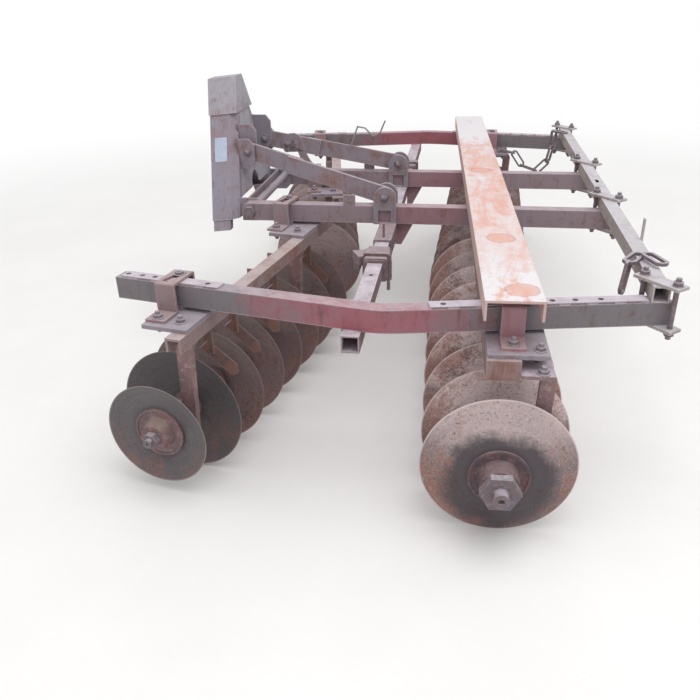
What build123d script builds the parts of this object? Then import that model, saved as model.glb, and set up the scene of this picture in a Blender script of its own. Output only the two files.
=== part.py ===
from build123d import *
import os
from math import atan2, cos, degrees, hypot, radians, sin, sqrt, tan

# Mounted tandem disc harrow. Millimetres, +Z up, +X to the rear, +Y to the machine's right.
# The left half (Y below 0) is modelled, and the right half mirrors it where the machine is symmetric.
# While modelling, X = 0 is the middle of the centre cross tube and Z = 0 is the ground.

# Frame heights
BEAM_TOP = 750
BEAM_HEIGHT = 80
BEAM_WIDTH = 60
BEAM_WALL = 6
BEAM_BOTTOM = BEAM_TOP - BEAM_HEIGHT
BEAM_MIDDLE = BEAM_BOTTOM + BEAM_HEIGHT / 2

# Side beams in plan: front end, bend and rear end of the centre line
SIDE_FRONT = (-870, -1318)
SIDE_BEND = (90, -1517)
SIDE_REAR = (1000, -1349)
SIDE_BEND_RADIUS = 270

# Inner beams
INNER_BEAM_Y = -342
INNER_FRONT_X = -700
INNER_REAR_X = 1000
INNER_NOSE_RADIUS = 38

# Gusset under each inner beam behind the centre tube: length, depth and thickness
GUSSET = (84, 106, 12)
# Latch plate on top of each inner beam: where it starts and ends, its height, thickness and hole
LATCH_PLATE = dict(x0=-211, x1=-155, height=50, thickness=8, hole=6)

# Cross tubes: the centre one runs under the beams, the rear one over them
CENTRE_TUBE_SIZE = 60
CENTRE_TUBE_WALL = 5
CENTRE_TUBE_LENGTH = 3146
CENTRE_TUBE_Z = BEAM_BOTTOM - CENTRE_TUBE_SIZE / 2
CENTRE_TUBE_HOLE = (1033, 9)
REAR_TUBE_SIZE = 54
REAR_TUBE_WALL = 5
REAR_TUBE_LENGTH = 2780
REAR_TUBE_X = 961
REAR_TUBE_Z = BEAM_TOP + REAR_TUBE_SIZE / 2
REAR_TUBE_TOP = BEAM_TOP + REAR_TUBE_SIZE
# Slot in the rear tube's top: place across, length and width
REAR_TUBE_SLOT = (-40, 60, 16)
# Tag bar welded to the rear tube's back: place across, height, width and thickness
TAG_BAR = dict(y=-915, height=78, width=20, thickness=6)

# Drilled wear strips on the side beams, as lengths from the bend along each run
STRIP_THICKNESS = 6
STRIP_WIDTH = 48
STRIP_HOLE_RADIUS = 10
STRIP_TOP = BEAM_TOP + STRIP_THICKNESS
# run, start, end, hole places
STRIPS = (
    ("front", 570, 960, (622, 834, 886, 944)),
    ("rear", 155, 848, (200, 370, 548, 621, 703)),
)

# Gangs: the innermost disc's place, the plan angle of the shaft, discs, disc radius,
# outermost disc's radius, dish direction (+1 = rim nearer the middle). The discs stand on the ground.
DISC_PITCH = 198.6
GANGS = {
    "front": dict(inner_x=-455, inner_y=-182, angle=-10.08, discs=8, radius=244, outer_radius=197, dish=-1),
    "rear": dict(inner_x=441, inner_y=-96, angle=1.76, discs=9, radius=255, outer_radius=255, dish=1),
}

# Discs
DISC_THICKNESS = 5
DISC_SPHERE_RADIUS = 600
DISC_FLAT_RADIUS = 103
DISC_EDGE_THICKNESS = 1.5
DISC_BEVEL = 12

# Shafts and spools
SHAFT_SIZE = 32
SHAFT_FIT = 0.4
SHAFT_HOLE = SHAFT_SIZE + 2 * SHAFT_FIT
SPOOL_RADIUS = 34
SPOOL_FLANGE_RADIUS = 58
SPOOL_FLANGE = 10
SPOOL_NECK = 0.6
JOURNAL_RADIUS = 36
JOURNAL_FIT = 0.3
INNER_NUT = 28

# Shaft ends outside the outermost disc, as radii and as distances from the disc:
# lip of the outer washer, hub that tapers, nut, threaded end and the bore in its face
END_WASHER = 5
END_LIP = 4
END_LIP_WIDTH = 7
SHAFT_ENDS = {
    "front": dict(
        lip=95, hub=62, hub_top=48, hub_end=50, nut=29, nut_end=74, thread=16, thread_end=90, bore=5,
    ),
    "rear": dict(
        lip=100, hub=67, hub_top=62, hub_end=70, nut=66, nut_end=98, thread=26, thread_end=132, bore=10,
    ),
}
BORE_DEPTH = 12

# Gang beams in gang coordinates: x to the rear of the shaft, reaches beyond the outermost
# and the innermost disc (below 0 = short of it)
BASE_PLATE_THICKNESS = 15
SADDLE_THICKNESS = 15
BASE_PLATE_TOP = BEAM_BOTTOM - SADDLE_THICKNESS
GANG_BEAM_TOP = BASE_PLATE_TOP - BASE_PLATE_THICKNESS
GANG_BEAM_WALL = 8
GANG_BEAMS = {
    "front": dict(x0=92, x1=150, outer_reach=26, inner_reach=34, height=50),
    "rear": dict(x0=-60, x1=45, outer_reach=-55, inner_reach=-89, height=70),
}

# Bearing arms: gaps between discs that hold a bearing, counted from the outermost disc,
# and how far outward each arm stands from the middle of its gap
ARM_GAPS = {"front": (0, 5), "rear": (0, 6)}
ARM_SHIFT = {"front": 26, "rear": 0}
ARM_THICKNESS = 26
# upper outline as x behind the shaft and drop below the gang beam's top
ARM_TOPS = {
    "front": ((72, 90), (86, 50), (150, 50), (128, 90)),
    "rear": ((112, 73), (45, 73), (45, 38), (140, 38), (160, 73)),
}
# lower outline as x behind the shaft and rise above it
ARM_FEET = {
    "front": ((112, -30), (60, -30)),
    "rear": ((152, 120), (60, -45), (40, -20), (40, 20), (104, 130)),
}
HOUSING_RADIUS = 60
HOUSING_LENGTH = 64
HOUSING_BLOCK = (66, 80)
# Tab on each rear arm's shoulder: how far behind the shaft, width and thickness
ARM_TAB = (147, 127, 12)

# Scrapers hang from the front gang beams between discs: bar width and thickness, place past
# the outer disc of the gap, top and bottom below the gang beam's top, and the blade's run
SCRAPER_BAR = (40, 8)
SCRAPER_PLACE = 75
SCRAPER_DROP = (12, 205)
SCRAPER_RUN = Vector(78, 60, -125)
SCRAPER_BLADE = ((-28, -20), (-28, 20), (130, 24), (160, 2), (148, -22))
SCRAPER_BLADE_THICKNESS = 6

# Straps over the beams: side and inner, with the strap's centre in gang coordinates
STRAP_THICKNESS = 10
STRAP_GAP = 122
STRAP_WIDTH = 75
STRAP_FOOT = 80
STRAP_BEND = 8
STRAP_SLOT = (30, 96)
STRAP_SLOT_TURN = -12
BASE_PLATE_LENGTH = 350
# gang, side strap x, inner strap x, base plate x0, base plate x1
STRAPS = {
    "front": dict(side_x=17, inner_x=-4, plate_x0=-22, plate_x1=150),
    "rear": dict(side_x=22, inner_x=-9, plate_x0=-58, plate_x1=130),
}

# Rear clamps: diagonal plates over the rear tube and under each beam
CLAMP_LENGTH = 168
CLAMP_WIDTH = 54
CLAMP_THICKNESS = 10
CLAMP_BOLT = (39, 47)
CLAMP_BOLT_RADIUS = 8.5
CLAMP_BOLT_REACH = 25

# Clamp round the centre tube beside each brace lug: start, end and thickness of each band
TUBE_SLEEVES = (
    (-640, -389, 9),
    (-905, -735, 12),
    (-785, -745, 17),
    (-862, -800, 26),
    (-900, -874, 18),
)
SLEEVE_ROUND = 0.6
CLAMP_EAR = ((-50, -800), (-104, -814), (-66, -892), (-50, -880))
CLAMP_EAR_Z = (650, 690)
CLAMP_EAR_NUT = (-80, -835, 15, 28)
# legs under the clamp: x, y, width, lower end
CLAMP_LEGS = ((48, -838, 22, 535), (50, -790, 16, 560))
CLAMP_LEG_THICKNESS = 12
CLAMP_PIN = (2, -600, 5, 70)

# Ballast channel, open downward, laid across the beams
CHANNEL_WIDTH = 180
CHANNEL_HEIGHT = 66
CHANNEL_WALL = 8
CHANNEL_LEFT_END = (501, -1594)
CHANNEL_RIGHT_END = (348, 1680)

# Coupling mast: an inverted V of channels, open inward, leaning forward
MAST_FOOT_X = -842
MAST_DEPTH = 131
MAST_FOOT_Y = 400
MAST_TOP_Y = 45
MAST_FOOT_Z = 615
MAST_HEIGHT = 655
MAST_LEG_WIDTH = 60
MAST_WALL = 8
MAST_LEAN = 5.8
MAST_CORNER = (36, 26)
MAST_SHOE = 45
MAST_SHOE_WIDTH = 42
MAST_HEAD_HEIGHT = 158
MAST_HEAD_EXTRA = 5
# Web across the V's back: its lower edge above the feet, and the arch cut from it
MAST_WEB_LOW = 125
MAST_WEB_ARCH = 70
MAST_SLOPE = (MAST_FOOT_Y - MAST_TOP_Y) / MAST_HEIGHT
MAST_STEP = hypot(1, MAST_SLOPE)

# Cross shaft and flat bar between the inner beams' noses: x, z, and the bar's section
CROSS_SHAFT = (-640, 731, 19)
CROSS_BAR = (-682, 740, 8, 36)

# Braces from the mast to the lugs on the inner beams
BRACE_FRONT = (-700, -165, 952)
BRACE_DEPTH = 80
BRACE_THICKNESS = 16
BRACE_REAR = (-19, INNER_BEAM_Y + BRACE_THICKNESS, 795)
BRACE_LAP = (215, 285)
BRACE_PIN_RADIUS = 10
CLEVIS_GAP = 40
CLEVIS_PLATE = 12
CLEVIS_NOSE = 34
CLEVIS_CORNER = (24, 30)
# side of the brace, drop below the pin, rise above it
CLEVIS_SIDES = ((-1, 75, 60), (1, 45, 120))
LUG_PLATE = 16
LUG_X = (-69, 35)
LUG_TOP = 842
LUG_WINDOW = (60, 8, 66)

# Foot plates and pins that join the mast to the inner beams' noses
FOOT_PIN_RADIUS = 14
FOOT_PLATE = 14
FOOT_PLATE_Z = (-20, 88)
FOOT_NOSE = (20, 45, 25)

# Tie chains at the rear corners: link length along the bar's middle, width, and bar.
# Each run has the start of its first link, which lies flat, the twist from link to link, and their ways.
LINK_LENGTH = 108
LINK_WIDTH = 36
LINK_BAR = 11
LINK_OVERLAP = 0.6
LINK_CORNER = 0.6
LEFT_CHAIN = (
    ((948, -1098, REAR_TUBE_TOP + LINK_BAR / 2), 0, ((-56, -92, 0), (-20, -40, -94))),
    ((962, -1126, REAR_TUBE_TOP + 1.5 * LINK_BAR - LINK_OVERLAP), 0, ((35, -102, 0),)),
)
RIGHT_CHAIN = (
    ((950, 1150, REAR_TUBE_TOP + LINK_BAR / 2), -7, (
        (-65, 76, 0), (-4, 8, -97), (-16, 18, -93), (-63, 18, -71),
        (-91, 15, 29), (-57, 13, 78), (-105, 14, 20),
    )),
)

# Sprung wire latch on the right brace: each bend's x, distance inside the rear bar's face
# and rise above the brace's middle line
LATCH_WIRE_RADIUS = 4
LATCH_WIRE = (
    (-276, 0, 16),
    (-268, 0, 41),
    (-229, 24, 152),
    (-190, 33, 154),
    (-148, 43, 123),
    (-111, 52, 148),
    (-85, 58, 214),
)

os.makedirs("parts", exist_ok=True)
nodes = {}


def add(name, *solids):
    """Keep the solids of one node."""
    nodes[name] = list(solids)


def add_pair(name, *solids):
    """Keep a left node and its mirror image on the right."""
    nodes[name + "_left"] = list(solids)
    nodes[name + "_right"] = [mirror(solid, about=Plane.XZ) for solid in solids]


def block(x0, x1, y0, y1, z0, z1):
    """A box between two corners."""
    return Pos((x0 + x1) / 2, (y0 + y1) / 2, (z0 + z1) / 2) * Box(x1 - x0, y1 - y0, z1 - z0)


def polygon(points, plane, depth):
    """A prism of a closed outline on a plane."""
    return extrude(plane * make_face(Polyline(*points, close=True)), amount=depth)


def side_plate(points, y0, thickness):
    """A plate that stands along the machine, with its outline as x and z."""
    plane = Plane(origin=(0, y0 + thickness, 0), x_dir=(1, 0, 0), z_dir=(0, -1, 0))
    return polygon(points, plane, thickness)


def cylinder_y(radius, x, z, y0, y1):
    """A cylinder along Y."""
    return Pos(x, (y0 + y1) / 2, z) * Rot(X=90) * Cylinder(radius, y1 - y0)


def hexagon_y(radius, x, z, y0, y1):
    """A hexagonal bar along Y, with its corners on the radius."""
    bar = extrude(Plane.XZ * RegularPolygon(radius, 6), amount=y1 - y0)
    return Pos(x, y1, z) * bar


def shaft_hole(y0, y1):
    """The square hole for a gang shaft."""
    half = SHAFT_HOLE / 2
    return block(-half, half, y0, y1, -half, half)


def offset_path(points, distance):
    """A three point path moved sideways, keeping its corner sharp."""
    (ax, ay), (bx, by), (cx, cy) = points
    first = degrees(atan2(by - ay, bx - ax))
    second = degrees(atan2(cy - by, cx - bx))
    mid = radians((first + second) / 2 + 90)
    stretch = distance / cos(radians((second - first) / 2))
    start = radians(first + 90)
    end = radians(second + 90)
    return [
        (ax + distance * cos(start), ay + distance * sin(start)),
        (bx + stretch * cos(mid), by + stretch * sin(mid)),
        (cx + distance * cos(end), cy + distance * sin(end)),
    ]


def shortened(points, cut):
    """The same path with both ends pulled in."""
    (ax, ay), (bx, by), (cx, cy) = points
    first = hypot(bx - ax, by - ay)
    second = hypot(cx - bx, cy - by)
    return [
        (ax + (bx - ax) * cut / first, ay + (by - ay) * cut / first),
        (bx, by),
        (cx - (cx - bx) * cut / second, cy - (cy - by) * cut / second),
    ]


def bent_bar(points, half_width, z0, height, radius):
    """A bar with one rounded bend in plan. The bend's outer side is at lower Y."""
    inner = offset_path(points, half_width)
    outer = offset_path(points, -half_width)
    outline = Polyline(*inner, *reversed(outer), close=True)
    bar = extrude(Pos(0, 0, z0) * make_face(outline), amount=height)
    for corner, bend in ((inner[1], radius - half_width), (outer[1], radius + half_width)):
        edge = bar.edges().filter_by(Axis.Z).sort_by_distance((*corner, z0 + height / 2))[0]
        bar = fillet(edge, bend)
    return bar


def run_frame(run):
    """Where a side beam's run starts at the bend, with +X along the run away from the bend."""
    end = SIDE_FRONT if run == "front" else SIDE_REAR
    angle = degrees(atan2(end[1] - SIDE_BEND[1], end[0] - SIDE_BEND[0]))
    return Location((*SIDE_BEND, 0), (0, 0, angle))


def side_beam():
    """Bent box beam with drilled strips along its top."""
    path = (SIDE_FRONT, SIDE_BEND, SIDE_REAR)
    half = BEAM_WIDTH / 2
    beam = bent_bar(path, half, BEAM_BOTTOM, BEAM_HEIGHT, SIDE_BEND_RADIUS)
    hollow_path = shortened(path, BEAM_WALL)
    hollow_height = BEAM_HEIGHT - 2 * BEAM_WALL
    beam -= bent_bar(hollow_path, half - BEAM_WALL, BEAM_BOTTOM + BEAM_WALL, hollow_height, SIDE_BEND_RADIUS)
    strips = []
    for run, start, end, holes in STRIPS:
        frame = run_frame(run)
        strip = block(start, end, -STRIP_WIDTH / 2, STRIP_WIDTH / 2, BEAM_TOP, STRIP_TOP)
        for place in holes:
            drill = Pos(place, 0, BEAM_TOP) * Cylinder(STRIP_HOLE_RADIUS, 4 * BEAM_WALL)
            strip -= drill
            beam -= frame * drill
        strips.append(frame * strip)
    return beam, strips


def inner_beam():
    """Straight box beam with a rounded nose for the mast's foot pin, a gusset and a latch plate."""
    y0 = INNER_BEAM_Y - BEAM_WIDTH / 2
    y1 = INNER_BEAM_Y + BEAM_WIDTH / 2
    beam = block(INNER_FRONT_X, INNER_REAR_X, y0, y1, BEAM_BOTTOM, BEAM_TOP)
    nose = beam.edges().filter_by(Axis.Y).group_by(Axis.X)[0]
    beam = fillet(nose, INNER_NOSE_RADIUS)
    front = INNER_FRONT_X + BEAM_HEIGHT
    rear = INNER_REAR_X - BEAM_WALL
    beam -= block(front, rear, y0 + BEAM_WALL, y1 - BEAM_WALL, BEAM_BOTTOM + BEAM_WALL, BEAM_TOP - BEAM_WALL)
    beam -= cylinder_y(FOOT_PIN_RADIUS, INNER_FRONT_X + BEAM_HEIGHT / 2, BEAM_MIDDLE, y0 - 1, y1 + 1)
    length, depth, thickness = GUSSET
    x0 = CENTRE_TUBE_SIZE / 2
    low = BEAM_BOTTOM - depth
    outline = [(x0, low), (x0 + length / 3, low), (x0 + length, BEAM_BOTTOM), (x0, BEAM_BOTTOM)]
    beam += side_plate(outline, INNER_BEAM_Y - thickness / 2, thickness)
    plate = LATCH_PLATE
    top = BEAM_TOP + plate["height"]
    middle = (plate["x0"] + plate["x1"]) / 2
    latch = block(plate["x0"], plate["x1"], y0, y0 + plate["thickness"], BEAM_TOP, top)
    latch -= cylinder_y(plate["hole"], middle, top - 3 * plate["hole"], y0 - 1, y0 + plate["thickness"] + 1)
    return beam + latch


def square_tube(size, wall, length, x, z):
    """Open square tube across the machine."""
    inside = size - 2 * wall
    return Pos(x, 0, z) * (Box(size, length, size) - Box(inside, length + 2, inside))


def centre_tube():
    """Cross tube under the beams, with a hole in its top on each side."""
    tube = square_tube(CENTRE_TUBE_SIZE, CENTRE_TUBE_WALL, CENTRE_TUBE_LENGTH, 0, CENTRE_TUBE_Z)
    place, radius = CENTRE_TUBE_HOLE
    for side in (-1, 1):
        tube -= Pos(0, side * place, BEAM_BOTTOM) * Cylinder(radius, 3 * CENTRE_TUBE_WALL)
    return tube


def rear_tube():
    """Cross tube over the beams, with a slot in its top and a tag bar on its back."""
    tube = square_tube(REAR_TUBE_SIZE, REAR_TUBE_WALL, REAR_TUBE_LENGTH, REAR_TUBE_X, REAR_TUBE_Z)
    place, length, width = REAR_TUBE_SLOT
    slot = extrude(SlotOverall(length, width, rotation=90), amount=3 * REAR_TUBE_WALL)
    tube -= Pos(REAR_TUBE_X, place, REAR_TUBE_TOP - 2 * REAR_TUBE_WALL) * slot
    x0 = REAR_TUBE_X + REAR_TUBE_SIZE / 2
    y0 = TAG_BAR["y"] - TAG_BAR["width"] / 2
    low = REAR_TUBE_TOP - REAR_TUBE_SIZE / 2
    top = REAR_TUBE_TOP + TAG_BAR["height"]
    return tube + block(x0, x0 + TAG_BAR["thickness"], y0, y0 + TAG_BAR["width"], low, top)


def tube_clamp():
    """Cast clamp round the centre tube: sleeves, ear with its nut, legs and pin."""
    half = CENTRE_TUBE_SIZE / 2
    tube = block(-half, half, -CENTRE_TUBE_LENGTH / 2, 0, CENTRE_TUBE_Z - half, CENTRE_TUBE_Z + half)
    body = None
    for y0, y1, grow in TUBE_SLEEVES:
        reach = half + grow
        sleeve = block(-reach, reach, y0, y1, CENTRE_TUBE_Z - reach, CENTRE_TUBE_Z + reach)
        sleeve = fillet(sleeve.edges().filter_by(Axis.Y), grow * SLEEVE_ROUND)
        body = sleeve if body is None else body + sleeve
    low, high = CLAMP_EAR_Z
    body += polygon(CLAMP_EAR, Plane.XY.offset(low), high - low)
    x, y, radius, length = CLAMP_EAR_NUT
    body += Pos(x, y, low - length) * extrude(RegularPolygon(radius, 6), amount=length)
    for x, y, width, end in CLAMP_LEGS:
        half_leg = CLAMP_LEG_THICKNESS / 2
        body += block(x - half_leg, x + half_leg, y - width / 2, y + width / 2, end, CENTRE_TUBE_Z)
    x, y, radius, length = CLAMP_PIN
    body += Pos(x, y, BEAM_BOTTOM + length / 2) * Cylinder(radius, length)
    return (body - tube).solids()


def dish_depth(radius):
    """How far a disc's middle surface stands from its flat centre."""
    flat = sqrt(DISC_SPHERE_RADIUS**2 - DISC_FLAT_RADIUS**2)
    return flat - sqrt(DISC_SPHERE_RADIUS**2 - radius**2)


def disc(radius, dish, y):
    """Concave disc on the shaft, sharpened from its convex side, with a square hole."""
    half = DISC_THICKNESS / 2
    edge = radius - DISC_BEVEL
    middle = (DISC_FLAT_RADIUS + edge) / 2
    rim = dish_depth(radius) + half
    convex = [(r, dish * (dish_depth(r) - half)) for r in (DISC_FLAT_RADIUS, middle, edge)]
    concave = [(r, dish * (dish_depth(r) + half)) for r in (radius, middle, DISC_FLAT_RADIUS)]
    outline = Polyline((0, -dish * half), convex[0])
    outline += ThreePointArc(*convex)
    outline += Polyline(convex[2], (radius, dish * (rim - DISC_EDGE_THICKNESS)), concave[0])
    outline += ThreePointArc(*concave)
    outline += Polyline(concave[2], (0, dish * half), (0, -dish * half))
    body = revolve(make_face(outline), axis=Axis.Y)
    return Pos(0, y, 0) * (body - shaft_hole(-2 * DISC_THICKNESS, 2 * DISC_THICKNESS))


def spool(y0, y1, journal):
    """Cast spool between two discs. One that carries a bearing is smooth and thick."""
    core = JOURNAL_RADIUS if journal else SPOOL_RADIUS
    neck = (SPOOL_FLANGE_RADIUS - core) * SPOOL_NECK
    outline = [
        (0, y0), (SPOOL_FLANGE_RADIUS, y0), (SPOOL_FLANGE_RADIUS, y0 + SPOOL_FLANGE),
        (core, y0 + SPOOL_FLANGE + neck), (core, y1 - SPOOL_FLANGE - neck),
        (SPOOL_FLANGE_RADIUS, y1 - SPOOL_FLANGE), (SPOOL_FLANGE_RADIUS, y1), (0, y1),
    ]
    body = revolve(make_face(Polyline(*outline, close=True)), axis=Axis.Y)
    return body - shaft_hole(y0 - 1, y1 + 1)


def end_hub(end):
    """Lipped washer and tapered hub outside the outermost disc."""
    face = -DISC_THICKNESS / 2
    washer = face - END_WASHER
    lip = end["lip"]
    inside = lip - END_LIP_WIDTH
    outline = [
        (0, face), (lip, face), (lip, washer - END_LIP), (inside, washer - END_LIP), (inside, washer),
        (end["hub"], washer), (end["hub_top"], -end["hub_end"]), (0, -end["hub_end"]),
    ]
    body = revolve(make_face(Polyline(*outline, close=True)), axis=Axis.Y)
    return body - shaft_hole(-end["hub_end"] - 1, 0)


def outermost(gang):
    """Plan place of a gang's outermost disc, counted out from its innermost one."""
    size = GANGS[gang]
    turn = radians(size["angle"])
    span = (size["discs"] - 1) * DISC_PITCH
    return size["inner_x"] + span * sin(turn), size["inner_y"] - span * cos(turn)


def gang_frame(gang, z=0):
    """The gang's own frame: origin under the outermost disc, +Y inward along the shaft."""
    return Location((*outermost(gang), z), (0, 0, GANGS[gang]["angle"]))


def gang_rotor(gang):
    """Shaft, discs and spools, which turn together, in the gang's frame at shaft height."""
    size = GANGS[gang]
    end = SHAFT_ENDS[gang]
    half = DISC_THICKNESS / 2
    discs = []
    spools = [end_hub(end)]
    for index in range(size["discs"]):
        radius = size["outer_radius"] if index == 0 else size["radius"]
        discs.append(disc(radius, size["dish"], index * DISC_PITCH))
        if index < size["discs"] - 1:
            start = index * DISC_PITCH + half
            spools.append(spool(start, start + DISC_PITCH - DISC_THICKNESS, index in ARM_GAPS[gang]))
    last = (size["discs"] - 1) * DISC_PITCH + half
    inner_end = last + SPOOL_FLANGE
    washer = cylinder_y(SPOOL_FLANGE_RADIUS, 0, 0, last, inner_end)
    spools.append(washer - shaft_hole(last - 1, inner_end + 1))
    half = SHAFT_SIZE / 2
    shaft = block(-half, half, -end["hub_end"], inner_end, -half, half)
    shaft += hexagon_y(end["nut"], 0, 0, -end["nut_end"], -end["hub_end"])
    shaft += cylinder_y(end["thread"], 0, 0, -end["thread_end"], -end["nut_end"])
    shaft -= cylinder_y(end["bore"], 0, 0, -end["thread_end"] - 1, BORE_DEPTH - end["thread_end"])
    shaft += hexagon_y(INNER_NUT, 0, 0, inner_end, inner_end + INNER_NUT)
    return shaft, discs, spools


def scraper(gap):
    """Bar down from the gang beam's front flange, with a slanted blade towards the next disc."""
    width, thickness = SCRAPER_BAR
    x1 = GANG_BEAMS["front"]["x0"]
    y_mid = gap * DISC_PITCH + SCRAPER_PLACE
    top, low = (GANG_BEAM_TOP - drop for drop in SCRAPER_DROP)
    bar = block(x1 - width, x1, y_mid - thickness / 2, y_mid + thickness / 2, low, top)
    along = SCRAPER_RUN.normalized()
    flat = Vector(along.Y, -along.X, 0).normalized()
    start = Vector(x1 - width / 2, y_mid, low + width / 2)
    plane = Plane(origin=start, x_dir=along, z_dir=flat)
    blade = make_face(Polyline(*SCRAPER_BLADE, close=True))
    return bar + extrude(plane.offset(-SCRAPER_BLADE_THICKNESS / 2) * blade, amount=SCRAPER_BLADE_THICKNESS)


def gang_beam(gang):
    """Beam over the gang: an open channel with scrapers in front, a closed box at the rear."""
    size = GANG_BEAMS[gang]
    wall = GANG_BEAM_WALL
    x0, x1 = size["x0"], size["x1"]
    y0 = -size["outer_reach"]
    y1 = (GANGS[gang]["discs"] - 1) * DISC_PITCH + size["inner_reach"]
    z0 = GANG_BEAM_TOP - size["height"]
    beam = block(x0, x1, y0, y1, z0, GANG_BEAM_TOP)
    if gang == "rear":
        inside = block(x0 + wall, x1 - wall, y0 + wall, y1 - wall, z0 + wall, GANG_BEAM_TOP - wall)
        return beam - inside
    beam -= block(x0 + wall, x1 - wall, y0 - 1, y1 + 1, z0 - 1, GANG_BEAM_TOP - wall)
    for gap in range(GANGS[gang]["discs"] - 1):
        if gap not in ARM_GAPS[gang]:
            beam += scraper(gap)
    return beam


def bearing_arm(gang, gap):
    """Arm from the gang beam to the bearing housing round a spool."""
    axle = GANGS[gang]["radius"]
    y_mid = (gap + 0.5) * DISC_PITCH
    y_arm = y_mid - ARM_SHIFT[gang]
    outline = [(x, GANG_BEAM_TOP - drop) for x, drop in ARM_TOPS[gang]]
    outline += [(x, axle + rise) for x, rise in ARM_FEET[gang]]
    arm = side_plate(outline, y_arm - ARM_THICKNESS / 2, ARM_THICKNESS)
    y0 = y_mid - HOUSING_LENGTH / 2
    y1 = y_mid + HOUSING_LENGTH / 2
    depth, height = HOUSING_BLOCK
    arm += cylinder_y(HOUSING_RADIUS, 0, axle, y0, y1)
    arm += block(0, depth, y_arm - HOUSING_LENGTH / 2, y1, axle - height / 2, axle + height / 2)
    if gang == "rear":
        reach, width, thickness = ARM_TAB
        x0 = GANG_BEAMS[gang]["x1"]
        top = GANG_BEAM_TOP - ARM_TOPS[gang][2][1]
        arm += block(x0, reach, y_mid - width / 2, y_mid + width / 2, top - thickness, top)
    return arm - cylinder_y(JOURNAL_RADIUS + JOURNAL_FIT, 0, axle, y0 - ARM_SHIFT[gang] - 1, y1 + 1)


def beam_crossing(gang, strap_x, inner):
    """The gang's own y where the strap meets the middle of a frame beam."""
    turn = radians(GANGS[gang]["angle"])
    start_x, start_y = outermost(gang)
    if inner:
        ax, ay, bx, by = INNER_FRONT_X, INNER_BEAM_Y, INNER_REAR_X, INNER_BEAM_Y
    elif gang == "front":
        (ax, ay), (bx, by) = SIDE_FRONT, SIDE_BEND
    else:
        (ax, ay), (bx, by) = SIDE_BEND, SIDE_REAR
    start_x += strap_x * cos(turn)
    start_y += strap_x * sin(turn)
    slope = (by - ay) / (bx - ax)
    return (ay + slope * (start_x - ax) - start_y) / (cos(turn) + slope * sin(turn))


def strap_set(gang, inner):
    """Hat strap over a frame beam, and the base plate with its saddle block under it."""
    place = STRAPS[gang]
    strap_x = place["inner_x"] if inner else place["side_x"]
    y_mid = beam_crossing(gang, strap_x, inner)
    x0 = strap_x - STRAP_WIDTH / 2
    x1 = strap_x + STRAP_WIDTH / 2
    inside = STRAP_GAP / 2
    outside = inside + STRAP_THICKNESS
    strap = block(x0, x1, y_mid - outside, y_mid + outside, BASE_PLATE_TOP, STRIP_TOP + STRAP_THICKNESS)
    strap = fillet(strap.edges().filter_by(Axis.X).group_by(Axis.Z)[-1], STRAP_BEND)
    strap -= block(x0 - 1, x1 + 1, y_mid - inside, y_mid + inside, BASE_PLATE_TOP - 1, STRIP_TOP)
    foot_top = BASE_PLATE_TOP + STRAP_THICKNESS
    for side in (-1, 1):
        ends = sorted((y_mid + side * outside, y_mid + side * (outside + STRAP_FOOT)))
        strap += block(x0, x1, ends[0], ends[1], BASE_PLATE_TOP, foot_top)
    slot = Rot(Z=STRAP_SLOT_TURN) * Box(STRAP_SLOT[0], STRAP_SLOT[1], 2 * STRAP_THICKNESS)
    strap -= Pos(strap_x, y_mid, STRIP_TOP + STRAP_THICKNESS / 2) * slot
    half = BASE_PLATE_LENGTH / 2
    plate_x0, plate_x1 = place["plate_x0"], place["plate_x1"]
    plate = block(plate_x0, plate_x1, y_mid - half, y_mid + half, GANG_BEAM_TOP, BASE_PLATE_TOP)
    half = BEAM_WIDTH / 2
    plate += block(x0, x1, y_mid - half, y_mid + half, BASE_PLATE_TOP, BEAM_BOTTOM)
    return strap, plate


def clamp(beam_y):
    """Two diagonal plates and two bolts where the rear tube crosses a beam."""
    turn = degrees(atan2(-CLAMP_BOLT[1], CLAMP_BOLT[0]))
    middle = Pos(REAR_TUBE_X, beam_y, 0)
    places = [(side * CLAMP_BOLT[0], -side * CLAMP_BOLT[1]) for side in (-1, 1)]
    plates = []
    for z0 in (REAR_TUBE_TOP, BEAM_BOTTOM - CLAMP_THICKNESS):
        z = z0 + CLAMP_THICKNESS / 2
        plate = Pos(0, 0, z) * Rot(Z=turn) * Box(CLAMP_LENGTH, CLAMP_WIDTH, CLAMP_THICKNESS)
        for x, y in places:
            plate -= Pos(x, y, z) * Cylinder(CLAMP_BOLT_RADIUS, 2 * CLAMP_THICKNESS)
        plates.append(middle * plate)
    low = BEAM_BOTTOM - CLAMP_BOLT_REACH
    high = REAR_TUBE_TOP + CLAMP_BOLT_REACH + CLAMP_THICKNESS
    bolt = Pos(0, 0, (low + high) / 2) * Cylinder(CLAMP_BOLT_RADIUS, high - low)
    bolts = [middle * Pos(x, y, 0) * bolt for x, y in places]
    return plates, bolts


def ballast_channel():
    """Channel laid open side down across the beams, a little askew."""
    (ax, ay), (bx, by) = CHANNEL_LEFT_END, CHANNEL_RIGHT_END
    length = hypot(bx - ax, by - ay)
    turn = degrees(atan2(by - ay, bx - ax)) - 90
    inside = CHANNEL_WIDTH - 2 * CHANNEL_WALL
    depth = CHANNEL_HEIGHT - CHANNEL_WALL
    body = Pos(0, 0, STRIP_TOP + CHANNEL_HEIGHT / 2) * Box(CHANNEL_WIDTH, length, CHANNEL_HEIGHT)
    body -= Pos(0, 0, STRIP_TOP + depth / 2) * Box(inside, length + 2, depth)
    return Location(((ax + bx) / 2, (ay + by) / 2, 0), (0, 0, turn)) * body


def mast_outline(inset, low, high):
    """The V's outer line moved inward, between two heights, as y and z."""
    ends = [MAST_FOOT_Y - MAST_SLOPE * z - inset * MAST_STEP for z in (low, high)]
    return [(-ends[0], low), (-ends[1], high), (ends[1], high), (ends[0], low)]


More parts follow.
